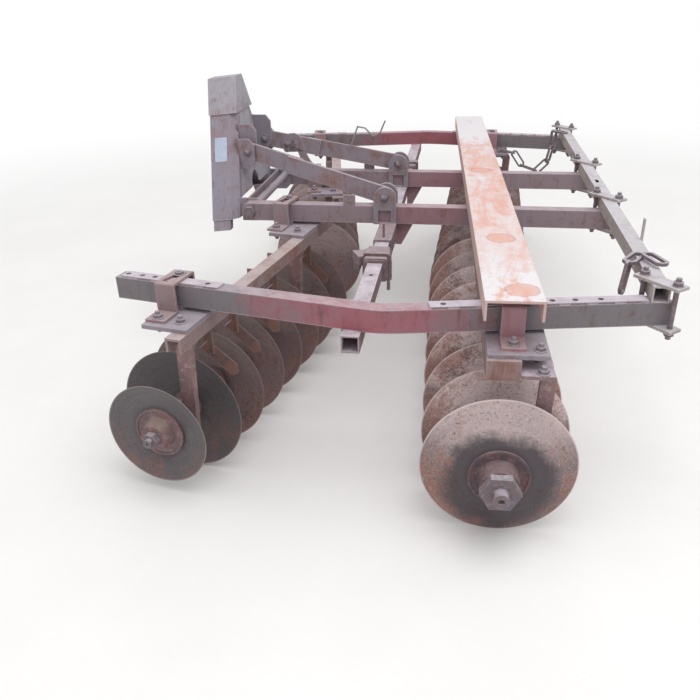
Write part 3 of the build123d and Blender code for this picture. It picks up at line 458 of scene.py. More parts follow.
@dataclass(frozen=True)
class DiscSteel:
    """Weathered disc steel: soil film, ringed rust, a greasy centre, a pale ground edge and painted
    light on the upper part.

    Attributes:
        name: the material's name.
        gang: which gang's axis the rings are about.
        side: which side's gang.
        steel: the disc's general colour.
        outer: the outermost discs' colour.
        tan: the colour of the dry soil film.
        pale: the colour painted on the upper part as light falling from above.
        rust: the rust's colour.
        grease: the dark colour round the hub.
        rim: the ground edge's colour.
        grease_reach: how far the dark centre reaches on the outermost disc.
        outer_count: how many discs from the outermost one have the outer colour.
        outer_share: how strong the outer colour is.
        clean: how much less the outer discs rust.
        patches: how dark the greasy patches are.
        splashed: how thick the pale soil splashes are.
        aged: how much more the discs behind the outermost one rust.
    """

    name: str
    gang: Gang
    side: Side
    steel: str
    outer: str
    tan: str
    pale: str
    rust: str
    grease: str
    rim: str
    grease_reach: float
    outer_count: int
    outer_share: float
    clean: float
    patches: float
    splashed: float
    aged: float = 0.0

    def build(self) -> Material:
        """Make the node material.

        Returns:
            The material.
        """
        size = GANG_SIZES[self.gang]
        make = Shader(self.name)
        hand = -self.side.value
        centre = (size.x, hand * size.y, size.axle_z)
        local = make.turned(make.place, centre, math.radians(hand * size.angle))
        across, along, up = (make.axis(local, letter) for letter in "XYZ")
        square = make.plus(make.times(across, across), make.times(up, up))
        reach = make.math("SQRT", square)
        place = make.plus(make.math("DIVIDE", along, hand * DISC_PITCH), size.dish * -0.1)
        number = make.math("ROUND", place)
        lot = make.node("ShaderNodeTexWhiteNoise", {"W": number}, noise_dimensions="1D").outputs[0]
        shift = make.vector(make.times(number, 3.7), 0.0, number)
        own = make.node("ShaderNodeVectorMath", {0: local, 1: shift}, operation="ADD").outputs[0]
        angle = make.math("ARCTAN2", up, across)
        spread = make.vector(make.times(reach, 70.0), make.times(angle, 0.5), number)
        rings = make.noise(1.0, 4, 0.6, spread)
        broad = make.noise(5, 5, 0.6, own, warp=0.8)
        middle = make.noise(24, 7, 0.7, own, warp=0.5)
        pits = make.noise(120, 5, 0.7, own)
        grain = make.noise(420, 4, 0.7, own)
        film = make.step(make.blend((broad, 0.45), (lot, 0.25), (middle, 0.3)), 0.38, 0.62)
        colour = make.mix(film, self.steel, self.tan)
        # Painted light: the upper part is painted paler, as if lit from above; on the discs behind
        # the outermost one it reaches lower, to offset the shade they stand in.
        uneven = make.times(make.minus(middle, 0.5), 0.16)
        raised = make.plus(up, uneven)
        lit_top_reach = make.step(number, 0.4, 0.6, size.radius * 0.72, size.radius * 0.45)
        lit_top = make.step(raised, 0.03, lit_top_reach, 0.0, 0.92)
        colour = make.mix(lit_top, colour, self.pale)
        last = self.outer_count - 0.5
        outer = make.step(number, last - 0.1, last + 0.1, self.outer_share, 0.0)
        colour = make.mix(outer, colour, self.outer)
        low = make.step(up, -0.16, 0.12, 0.08, 0.0)
        older = make.step(number, 0.4, 0.6, 0.0, self.aged)
        flank = make.step(make.math("ABSOLUTE", across), 0.08, 0.20, 0.0, make.plus(older, 0.03))
        share = make.blend((broad, 0.4), (middle, 0.4), (pits, 0.2))
        share = make.plus(share, make.plus(low, flank))
        share = make.plus(share, make.times(older, make.times(lot, 0.5)))
        rusts = make.step(make.minus(share, make.times(outer, self.clean)), 0.50, 0.66)
        colour = make.mix(make.times(rusts, 0.75), colour, self.rust)
        splashes = make.step(make.noise(170, 4, 0.75, own), 0.34, 0.46, self.splashed, 0.0)
        colour = make.mix(splashes, colour, self.rim)
        spill = make.blend((make.noise(7, 6, 0.7, own, warp=0.5), 0.75), (pits, 0.25))
        strength = make.step(number, 0.4, 0.6, 0.35 * self.patches, self.patches)
        colour = make.mix(make.step(spill, 0.51, 0.66, 0.0, strength), colour, self.grease)
        narrower = make.times(make.math("MINIMUM", number, 1.0), 0.03)
        own_reach = make.minus(self.grease_reach, narrower)
        wavy = make.times(make.minus(make.blend((broad, 0.6), (middle, 0.4)), 0.5), 0.16)
        sagged = make.times(up, 0.26)
        soft = make.minus(make.plus(make.plus(reach, wavy), sagged), own_reach)
        dark = make.step(soft, -0.035, 0.03, 1.0, 0.0)
        colour = make.mix(make.times(dark, 0.93), colour, self.grease)
        specks = make.step(pits, 0.55, 0.66, 0.0, 0.6)
        colour = make.mix(specks, colour, self.grease)
        colour = make.mottled(colour, rings, 0.25)
        colour = make.mottled(colour, grain, 0.35)
        radius = make.step(number, 0.4, 0.6, size.outer_radius, size.radius)
        inside = make.minus(make.minus(radius, reach), make.times(pits, 0.004))
        edge = make.step(inside, 0.0, 0.003, 0.6, 0.0)
        colour = make.mix(edge, colour, self.rim)
        rough = make.step(make.minus(rusts, make.times(dark, 0.6)), -0.4, 1.0, 0.45, 0.85)
        height = make.blend((middle, 0.5), (pits, 0.5))
        return make.finish(colour, rough, height, 0.3, 0.001, 0.1)


@dataclass(frozen=True)
class RustyCasting:
    """Rough cast or forged iron with brown rust and dry soil.

    Attributes:
        name: the material's name.
        iron: the darker base.
        rust: the rust.
        bloom: the paler powdery rust or soil.
        edge: what bare edges show.
        metal: how metallic it is.
        dust: what lies on faces that look up, if not the bloom; on the bolts it is a painted
            highlight on their tops.
    """

    name: str
    iron: str
    rust: str
    bloom: str
    edge: str = "A89A98"
    metal: float = 0.0
    dust: str = ""

    def build(self) -> Material:
        """Make the node material.

        Returns:
            The material.
        """
        make = Shader(self.name)
        broad = make.noise(9, 6, 0.65, warp=0.5)
        middle = make.noise(42, 7, 0.7)
        fine = make.noise(210, 5, 0.75)
        streaks = make.noise(14, 5, 0.7, make.scaled(make.place, (4, 4, 0.6)))
        rusts = make.step(make.blend((broad, 0.6), (streaks, 0.4)), 0.40, 0.60)
        colour = make.mix(rusts, self.iron, self.rust)
        colour = make.mix(make.step(middle, 0.48, 0.66, 0.0, 0.6), colour, self.bloom)
        # Faces that look up take the dust or bloom colour; on the bolts this pale top is a painted
        # highlight.
        up = make.times(make.upward(), make.step(middle, 0.3, 0.6, 0.4, 0.8))
        colour = make.mix(up, colour, self.dust or self.bloom)
        colour = make.mottled(colour, fine, 0.35)
        colour = make.chipped(colour, self.edge, 0.004, make.step(fine, 0.35, 0.6), 0.45)
        rough = make.step(middle, 0.3, 0.7, 0.62, 0.92)
        height = make.plus(middle, make.times(fine, 0.8))
        return make.finish(colour, rough, height, 0.55, 0.0016, self.metal)


@dataclass(frozen=True)
class ChalkyPrimer:
    """The ballast channel's orange primer, bleached pale on top with rust rings.

    Attributes:
        name: the material's name.
        primer: the strong orange.
        pale: the bleached top.
        white: the lime-white patches near the channel's near end.
        rust: the rings and stains.
        inside: the sides and the inside.
        turn: the channel's plan turn in radians.
        rings: places of the rust rings, packed x and y.
        ring_radius: how wide the rings are.
        near_end: where the near end is across the machine.
        top: the top face's height.
        shade: the darker tone of the sides and the inside.
    """

    name: str
    primer: str
    pale: str
    white: str
    rust: str
    inside: str
    turn: float
    rings: tuple[Pair, ...]
    ring_radius: float
    near_end: float
    top: float = 0.822
    shade: str = "B98A78"

    def build(self) -> Material:
        """Make the node material.

        Returns:
            The material.
        """
        make = Shader(self.name)
        local = make.turned(make.place, (0, 0, 0), self.turn)
        drawn = make.noise(7, 6, 0.65, make.scaled(local, (2.2, 0.45, 1)), warp=0.8)
        middle = make.noise(17, 8, 0.72, warp=0.6)
        fine = make.noise(130, 5, 0.7)
        grain = make.noise(420, 4, 0.7)
        along = make.axis(make.place, "Y")
        strong = make.step(make.math("ABSOLUTE", make.minus(along, 0.1)), 0.6, 1.1, -0.035, 0.0)
        washed = make.plus(make.blend((drawn, 0.55), (middle, 0.45)), strong)
        colour = make.mix(make.step(washed, 0.36, 0.56, 0.15, 1.0), self.primer, self.pale)
        near = make.step(along, self.near_end, self.near_end + 0.55, 0.14, 0.0)
        ends = make.plus(near, make.step(along, 0.45, 1.1, 0.0, 0.2))
        bare = make.step(make.plus(make.blend((middle, 0.5), (drawn, 0.5)), ends), 0.55, 0.66)
        colour = make.mix(bare, colour, self.white)
        ragged = make.times(make.minus(make.blend((middle, 0.5), (fine, 0.5)), 0.5), 0.04)
        for x, y in self.rings:
            ends = {0: make.place, 1: (x, y, self.top)}
            away = make.node("ShaderNodeVectorMath", ends, operation="DISTANCE").outputs["Value"]
            reach = make.plus(away, ragged)
            inside = make.step(reach, self.ring_radius - 0.012, self.ring_radius, 0.75, 0.0)
            colour = make.mix(inside, colour, self.primer)
            off = make.math("ABSOLUTE", make.minus(reach, self.ring_radius))
            colour = make.mix(make.step(off, 0.002, 0.008, 0.55, 0.0), colour, self.rust)
        stain = make.step(make.blend((fine, 0.4), (middle, 0.6)), 0.55, 0.70, 0.0, 0.5)
        colour = make.mix(stain, colour, self.rust)
        side = make.minus(1.0, make.upward())
        tint = make.mix(make.step(drawn, 0.35, 0.65), self.inside, self.shade)
        colour = make.mix(make.times(side, 0.7), colour, tint)
        colour = make.chipped(colour, self.rust, 0.005, make.step(fine, 0.3, 0.6), 0.55)
        colour = make.mottled(colour, grain, 0.3)
        return make.finish(colour, make.step(middle, 0.3, 0.7, 0.62, 0.88), fine, 0.3, 0.001)


FINISHES = {
    "side_beam": WeatheredPaint(
        "faded_red_beam", "9A5C66", "777175", "574C4E", "7E5A50", "C6BBC2",
        kept=0.47, rusting=0.32, dusty=0.55, worn=0.75, zone=(-0.06, 0.64),
    ),
    "inner_beam": WeatheredPaint(
        "faded_inner_beam", "976F77", "8D7D84", "6A5957", "866054", "C8BBC2",
        kept=0.44, rusting=0.35, dusty=0.5, worn=0.7, zone=(0.1, 0.35),
    ),
    "mast": WeatheredPaint(
        "dull_mast", "8E7072", "8C8692", "6E646D", "755F57", "B9B4BE",
        kept=0.34, rusting=0.3, dusty=0.3, worn=0.6,
    ),
    "mast_head": WeatheredPaint(
        "bleached_mast_head", "997F80", "9E9BA5", "7D757D", "7D6A62", "C5C3CB",
        kept=0.28, rusting=0.3, dusty=0.3, worn=0.6,
    ),
    "brace": WeatheredPaint(
        "dull_brace", "937270", "8B828B", "685B62", "836454", "BEB5BD",
        kept=0.42, rusting=0.35, dusty=0.45, worn=0.7,
    ),
    "gang_beam": WeatheredPaint(
        "dusty_gang_beam", "8F5F58", "8A7877", "625050", "845B4E", "C3B4B3",
        kept=0.4, rusting=0.45, dusty=0.75, worn=0.6, soiled=0.575,
    ),
    "plate": WeatheredPaint(
        "plate_paint", "8D6B6D", "8D848D", "675A61", "865F52", "B8AEB7",
        kept=0.36, rusting=0.35, dusty=0.6, worn=0.7,
    ),
    "strap": WeatheredPaint(
        "strap_paint", "956862", "8B7B80", "6A5656", "9E6E57", "C1ADAD",
        kept=0.45, rusting=0.45, dusty=0.55, worn=0.7,
    ),
    "red_strap": WeatheredPaint(
        "red_strap_paint", "A57780", "978086", "715E5D", "A17C6A", "C8B7BA",
        kept=0.9, rusting=0.4, dusty=0.6, worn=0.7,
    ),
    "tube": WeatheredPaint(
        "worn_tube", "8E696A", "80737A", "5F5359", "7F5C50", "D0C7D0",
        kept=0.45, rusting=0.4, dusty=0.85, worn=0.7,
    ),
    "worn": WeatheredPaint(
        "worn_pale_steel", "AA9A96", "ABA3A0", "746D70", "90786B", "C8C6CE",
        kept=0.4, rusting=0.4, dusty=0.8, worn=0.7,
    ),
    "strip": WeatheredPaint(
        "worn_strip", "A08284", "A098A1", "786C73", "8E6F66", "D0C6CF",
        kept=0.3, rusting=0.4, dusty=0.75, worn=0.8,
    ),
    "wire": WeatheredPaint(
        "dull_wire", "8F8583", "948C90", "685F62", "80695F", "B4ABAE",
        kept=0.4, rusting=0.2, dusty=0.5, worn=0.5,
    ),
    "primer": ChalkyPrimer(
        "orange_primer", "D59F8F", "D7CACA", "DCD8DB", "BC7E64", "B0A0A0",
        turn=math.radians(-2.68),
        rings=((0.524 - MIDDLE_X, -1.503), (0.478 - MIDDLE_X, -1.004), (0.412 - MIDDLE_X, 0.068)),
        ring_radius=0.050,
        near_end=-1.6,
    ),
    "casting": RustyCasting("rusty_casting", "6B5B60", "7D5E5A", "998682"),
    # The bolts' pale colour on faces that look up is a painted highlight on their tops.
    "bolt": RustyCasting(
        "bolt_steel", "706A73", "7A696A", "9E9295", "BCB5BD",
        metal=0.2, dust="BDB4BC",
    ),
    "arm": RustyCasting("rusty_arm", "7D656A", "8B6D69", "B19A9A", dust="C2B6C1"),
    "greasy_casting": RustyCasting("greasy_casting", "4F464C", "6E4C4E", "877476"),
    "tube_clamp": RustyCasting("clamp_iron", "70636A", "7D6567", "A5969B"),
    "weld": RustyCasting("weld_bead", "6A5F63", "7B6460", "988988"),
    "label": RustyCasting("bare_label", "A9B3C8", "B0BACD", "BEC6D4", "CFD4DE"),
}


@dataclass(frozen=True)
class Spot:
    """Where one copy goes.

    Attributes:
        place: the copy's origin.
        aim: the way its own upward axis points.
        flat: the way its own first axis points, as near as the aim allows.
    """

    place: Vector
    aim: Vector
    flat: Vector

    def turn(self) -> Quaternion:
        """Work out the copy's rotation.

        Returns:
            The rotation from the pattern's axes.
        """
        up = self.aim.normalized()
        first = (self.flat - up * self.flat.dot(up)).normalized()
        return Matrix((first, up.cross(first), up)).transposed().to_quaternion()

    def mirrored(self) -> "Spot":
        """The same spot on the machine's other side."""
        flip = Vector((1, -1, 1))
        return Spot(self.place * flip, self.aim * flip, self.flat * flip)


def on_model(x: float, y: float, z: float, aim: Point = UP) -> Spot:
    """A spot from a point in the model's axes."""
    return Spot(Vector((x - MIDDLE_X, y, z)), Vector(aim), Vector(ALONG))


def in_gang(gang: Gang, x: float, y: float, z: float, aim: Point = UP) -> Spot:
    """A spot given in a left gang's own axes.

    Args:
        gang: which gang.
        x: behind the shaft.
        y: inward from the outermost disc.
        z: above the ground.
        aim: the way it points, in the gang's axes.

    Returns:
        The spot in the frame's axes.
    """
    size = GANG_SIZES[gang]
    turn = Matrix.Rotation(math.radians(size.angle), 3, "Z")
    place = turn @ Vector((x, y, 0)) + Vector((size.x, size.y, z))
    return Spot(place, turn @ Vector(aim), turn @ Vector(ALONG))


def both_sides(spots: list[Spot]) -> list[Spot]:
    """The left side's spots, followed by the right side's."""
    return spots + [one.mirrored() for one in spots]


def linked(name: str, data: ID) -> Object:
    """Make an object and link it to the scene.

    Args:
        name: the object's name.
        data: its mesh, lamp or camera.

    Returns:
        The object.
    """
    made = bpy.data.objects.new(name, data)
    bpy.context.scene.collection.objects.link(made)
    return made


def piece(name: str, mesh: Mesh) -> Object:
    """Put a finished mesh into the scene.

    Args:
        name: the piece's name.
        mesh: its mesh.

    Returns:
        The linked object.
    """
    mesh.name = name
    log.info("%s has %d triangles", name, sum(len(face.vertices) - 2 for face in mesh.polygons))
    return linked(name, mesh)


def plain(made: bmesh.types.BMesh, name: str) -> Mesh:
    """Turn a bmesh into a plain mesh and free it.

    Args:
        made: the bmesh.
        name: the mesh's name.

    Returns:
        The mesh.
    """
    mesh = bpy.data.meshes.new(name)
    made.to_mesh(mesh)
    made.free()
    return mesh


def slab(lower: list[Vector], upper: list[Vector]) -> bmesh.types.BMesh:
    """Close two rings of corners into a flat body.

    Args:
        lower: the corners of one face.
        upper: the corners of the other, in the same order.

    Returns:
        The bmesh, open for more work.
    """
    made = bmesh.new()
    rows = [[made.verts.new(corner) for corner in ring] for ring in (lower, upper)]
    for row in rows:
        made.faces.new(row)
    for step in range(len(lower)):
        after = (step + 1) % len(lower)
        made.faces.new((rows[0][step], rows[0][after], rows[1][after], rows[1][step]))
    return made


def lathe(profile: list[Pair], sides: int, smooth: float = 0.0) -> Mesh:
    """Turn a profile about the upright axis into a closed shell.

    Args:
        profile: radius and height of each corner, from the axis back to the axis.
        sides: how many sides a turn has.
        smooth: the largest angle in degrees that is shaded smooth, none if 0.

    Returns:
        The mesh.
    """
    made = bmesh.new()
    turns = [2 * math.pi * step / sides for step in range(sides)]
    rows = []
    for radius, height in profile:
        ring = [(radius * math.cos(turn), radius * math.sin(turn), height) for turn in turns]
        rows.append([made.verts.new(place) for place in (ring if radius else [(0, 0, height)])])
    for lower, upper in zip(rows, rows[1:]):
        for step in range(sides):
            after = (step + 1) % sides
            if len(lower) == 1:
                made.faces.new((lower[0], upper[after], upper[step]))
            elif len(upper) == 1:
                made.faces.new((lower[step], lower[after], upper[0]))
            else:
                made.faces.new((lower[step], lower[after], upper[after], upper[step]))
    bmesh.ops.recalc_face_normals(made, faces=made.faces)
    mesh = plain(made, "turned")
    if smooth:
        mesh.shade_smooth()
        mesh.set_sharp_from_angle(angle=math.radians(smooth))
    return mesh


class Repeater:
    """Sets copies of a pattern on spots with Geometry Nodes, and keeps them as a plain mesh."""

    INPUTS = (
        ("Spots", "Geometry"), ("Pattern", "Object"), ("Loose Turn", "Float"),
        ("Size Spread", "Float"), ("Seed", "Int"), ("Material", "Material"),
    )

    def __init__(self) -> None:
        """Build the node group once."""
        tree = bpy.data.node_groups.new("copies_on_spots", "GeometryNodeTree")
        self.tree = tree
        for name, kind in self.INPUTS:
            tree.interface.new_socket(name, in_out="INPUT", socket_type=f"NodeSocket{kind}")
        tree.interface.new_socket("Copies", in_out="OUTPUT", socket_type="NodeSocketGeometry")
        given = add_node(tree, "NodeGroupInput").outputs
        pattern = add_node(tree, "GeometryNodeObjectInfo", {"Object": given["Pattern"]})
        settings = {"data_type": "QUATERNION"}
        turn = add_node(tree, "GeometryNodeInputNamedAttribute", {"Name": "turn"}, **settings)
        placed = add_node(tree, "GeometryNodeInstanceOnPoints", {
            "Points": given["Spots"],
            "Instance": pattern.outputs["Geometry"],
            "Rotation": turn.outputs["Attribute"],
            "Scale": self.random(given["Size Spread"], given["Seed"], 1.0),
        })
        spin = self.random(given["Loose Turn"], given["Seed"], 0.0)
        turned = add_node(tree, "GeometryNodeRotateInstances", {
            "Instances": placed.outputs["Instances"],
            "Rotation": add_node(tree, "ShaderNodeCombineXYZ", {"Z": spin}).outputs["Vector"],
        })
        copies = {"Geometry": turned.outputs["Instances"]}
        real = add_node(tree, "GeometryNodeRealizeInstances", copies)
        values = {"Geometry": real.outputs["Geometry"], "Material": given["Material"]}
        painted = add_node(tree, "GeometryNodeSetMaterial", values)
        add_node(tree, "NodeGroupOutput", {"Copies": painted.outputs["Geometry"]})

    def random(self, spread: Socket, seed: Socket, middle: float) -> Socket:
        """A random number for each copy, within the spread on both sides of a middle value.

        Args:
            spread: the socket with the largest distance from the middle.
            seed: the socket with the seed.
            middle: the middle value.

        Returns:
            The value socket.
        """
        number = add_node(self.tree, "FunctionNodeRandomValue", {"Seed": seed}, data_type="FLOAT")
        ends = [socket for socket in number.inputs if socket.type == "VALUE"]
        for socket, end in zip(ends, (-1.0, 1.0)):
            socket.default_value = end
        value = next(socket for socket in number.outputs if socket.type == "VALUE")
        values = {0: value, 1: spread, 2: middle}
        return add_node(self.tree, "ShaderNodeMath", values, operation="MULTIPLY_ADD").outputs[0]

    def lay(
        self, name: str, pattern: Mesh, spots: list[Spot], material: Material,
        loose: float = 0.0, spread: float = 0.0, seed: int = 1,
    ) -> Object:
        """Copy a pattern onto spots.

        Args:
            name: the finished piece's name.
            pattern: the mesh that is copied.
            spots: where the copies go.
            material: the finish of all copies.
            loose: the largest turn about a copy's own axis, in radians.
            spread: how much the copies differ in size.
            seed: the seed of both.

        Returns:
            The finished piece, as a plain mesh.
        """
        holder = linked("pattern", pattern)
        points = bpy.data.meshes.new("spots")
        points.from_pydata([one.place for one in spots], [], [])
        turns = points.attributes.new("turn", "QUATERNION", "POINT")
        for value, one in zip(turns.data, spots):
            value.value = one.turn()
        carrier = linked("spots", points)
        modifier = carrier.modifiers.new("copies", "NODES")
        modifier.node_group = self.tree
        values = {"Pattern": holder, "Loose Turn": loose, "Size Spread": spread}
        values |= {"Seed": seed, "Material": material}
        for item in self.tree.interface.items_tree:
            if item.in_out == "INPUT" and item.name in values:
                modifier[item.identifier] = values[item.name]
        carrier.update_tag()
        bpy.context.view_layer.update()
        ready = carrier.evaluated_get(bpy.context.evaluated_depsgraph_get())
        mesh = bpy.data.meshes.new_from_object(ready)
        carrier.modifiers.remove(modifier)
        for leftover in (carrier, holder):
            bpy.data.objects.remove(leftover)
        return piece(name, mesh)


@dataclass(frozen=True)
class BoltKit:
    """A hex nut on a washer with the bolt's thread standing out of it.

    Attributes:
        across: half the hexagon's width over its corners.
        height: the nut's height.
        washer: the washer's radius.
        plate: the washer's thickness.
        stud: how far the thread stands out of the nut.
        pitch: the thread's pitch.
        core: the thread's inner radius, as a share of the nut's half width.
        crest: the thread's outer radius, as a share of its inner one.
        sunk: how deep the thread starts inside the nut.
    """

    across: float = 0.0165
    height: float = 0.012
    washer: float = 0.021
    plate: float = 0.003
    stud: float = 0.010
    pitch: float = 0.0025
    core: float = 0.5
    crest: float = 1.1
    sunk: float = 0.001

    def nut(self) -> list[Pair]:
        """The profile of the nut, with its corners cut at both ends.

        Returns:
            Radius and height of each corner.
        """
        base, top = self.plate, self.plate + self.height
        wide = [(self.across, base + self.height * 0.12), (self.across, top - self.height * 0.16)]
        return [(0, base), (self.across * 0.93, base), *wide, (self.across * 0.86, top), (0, top)]

    def thread(self) -> list[Pair]:
        """The profile of the thread that stands out of the nut.

        Returns:
            Radius and height of each corner.
        """
        top = self.plate + self.height
        core = self.across * self.core
        turns = max(2, round(self.stud / self.pitch))
        profile = [(0, top - self.sunk)]
        for turn in range(turns):
            low = top + self.stud * turn / turns
            profile += [(core, low), (core * self.crest, low + self.stud * 0.5 / turns)]
        tip = top + self.stud * 1.12
        return profile + [(core, top + self.stud), (core * 0.7, tip), (0, tip)]

    def disc(self) -> list[Pair]:
        """The washer's profile, with its upper edge rounded off."""
        rim = [(self.washer, self.plate * 0.8), (self.washer * 0.95, self.plate)]
        return [(0, 0), (self.washer, 0), *rim, (0, self.plate)]

    def pattern(self) -> Mesh:
        """Build the mesh.

        Returns:
            The three shells, seated at their origin and pointing up.
        """
        made = bmesh.new()
        for profile, sides in ((self.nut(), 6), (self.thread(), 14), (self.disc(), 20)):
            made.from_mesh(lathe(profile, sides))
        return plain(made, "bolt")


@dataclass
class Fasteners:
    """Nuts, washers and studs where the frame's pieces are bolted together.

    Attributes:
        repeater: what copies the nuts.
        steel: their finish.
        foot_top: the height of the straps' feet.
        plate_top: the height of the base plates' upper face.
        plate_low: the height of their lower face.
        strap_top: the height of the straps.
        slot_bolt: a slot's bolt, behind and inward of its strap's middle.
        housing: a bearing housing's bolts, behind, across and above its shaft.
        tab: a rear arm's bolts, behind and across its shaft and above the ground.
        pins: the crosswise pins' place along and across, their half length and height.
        clamp_x: the rear clamps' place along the model.
        clamp_bolt: from a clamp's middle to its bolts, along and across.
        clamp_beams: the clamped beams' places across.
        clamp_ends: the height of the clamps' upper and lower nuts.
    """

    repeater: Repeater
    steel: Material
    foot_top: float = 0.665
    plate_top: float = 0.655
    plate_low: float = 0.640
    strap_top: float = 0.766
    slot_bolt: Pair = (0.0055, 0.026)
    housing: Point = (0.048, 0.019, 0.040)
    tab: Point = (0.112, 0.043, 0.602)
    pins: tuple[tuple[float, ...], ...] = (
        (-0.019, 0.342, 0.046, 0.795), (-0.700, 0.165, 0.032, 0.952),
    )
    clamp_x: float = 0.961
    clamp_bolt: Pair = (0.039, 0.047)
    clamp_beams: tuple[float, ...] = (-1.35621, -0.342, 0.342, 1.35621)
    clamp_ends: Pair = (0.814, 0.660)

    def on_straps(self) -> list[Spot]:
        """Place the nuts on the straps' feet and the base plates.

        Returns:
            The left side's spots.
        """
        spots = []
        for gang, seat in SEATS.items():
            plate_x, plate_off = seat.plate
            for strap_x, middle in seat.straps:
                for way in WAYS:
                    foot = (strap_x, middle + way * seat.foot)
                    plate = (plate_x, middle + way * plate_off)
                    below = foot if gang is Gang.FRONT else plate
                    spots.append(in_gang(gang, *foot, self.foot_top))
                    spots.append(in_gang(gang, *plate, self.plate_top))
                    spots.append(in_gang(gang, *below, self.plate_low, DOWN))
        return spots

    def in_slots(self) -> list[Spot]:
        """Place the bolt heads in the straps' slots.

        Returns:
            The left side's spots.
        """
        back, inward = self.slot_bolt
        return [
            in_gang(gang, x + back, middle + inward, self.strap_top)
            for gang, seat in SEATS.items() for x, middle in seat.straps
        ]

    def on_arms(self) -> list[Spot]:
        """Place the nuts on the bearing housings and on the rear arms' tabs.

        Returns:
            The left side's spots.
        """
        spots = []
        x, off, rise = self.housing
        tab_x, tab_off, tab_z = self.tab
        for gang, seat in SEATS.items():
            axle = GANG_SIZES[gang].axle_z
            for gap in seat.arms:
                middle = (gap + 0.5) * DISC_PITCH
                for way in WAYS:
                    spots.append(in_gang(gang, x, middle + way * off, axle + rise))
                    spots.append(in_gang(gang, x, middle + way * off, axle - rise, DOWN))
                    if gang is Gang.REAR:
                        spots.append(in_gang(gang, tab_x, middle + way * tab_off, tab_z))
        return spots

    def on_pins(self) -> list[Spot]:
        """The nuts on both ends of the crosswise pins."""
        ends = [(pin, way) for pin in self.pins for way in WAYS]
        return [on_model(x, -y + way * off, z, (0, way, 0)) for (x, y, off, z), way in ends]

    def on_clamps(self) -> list[Spot]:
        """Place the nuts on both ends of the rear clamps' bolts.

        Returns:
            The spots of both sides.
        """
        spots = []
        x_off, y_off = self.clamp_bolt
        for beam in self.clamp_beams:
            for way in WAYS:
                for z, aim in zip(self.clamp_ends, (UP, DOWN)):
                    spots.append(on_model(self.clamp_x + way * x_off, beam - way * y_off, z, aim))
        return spots

    def build(self) -> list[Object]:
        """Lay all nuts and let them ride on the frame.

        Returns:
            The finished pieces.
        """
        nuts = both_sides(self.on_straps() + self.on_arms() + self.on_pins())
        heads = both_sides(self.in_slots())
        head = BoltKit(across=0.0155, height=0.010, washer=0.019, plate=0.002, stud=0.003)
        clamp = BoltKit(across=0.0165, height=0.013, washer=0.018, plate=0.0025, stud=0.011)
        kits = (
            ("frame_nuts", BoltKit(), nuts, 3),
            ("slot_bolts", head, heads, 7),
            ("clamp_nuts", clamp, self.on_clamps(), 5),
        )
        made = []
        for name, kit, spots, seed in kits:
            nuts = self.repeater.lay(name, kit.pattern(), spots, self.steel, math.pi, 0.0, seed)
            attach(nuts, "frame")
            made.append(nuts)
        return made


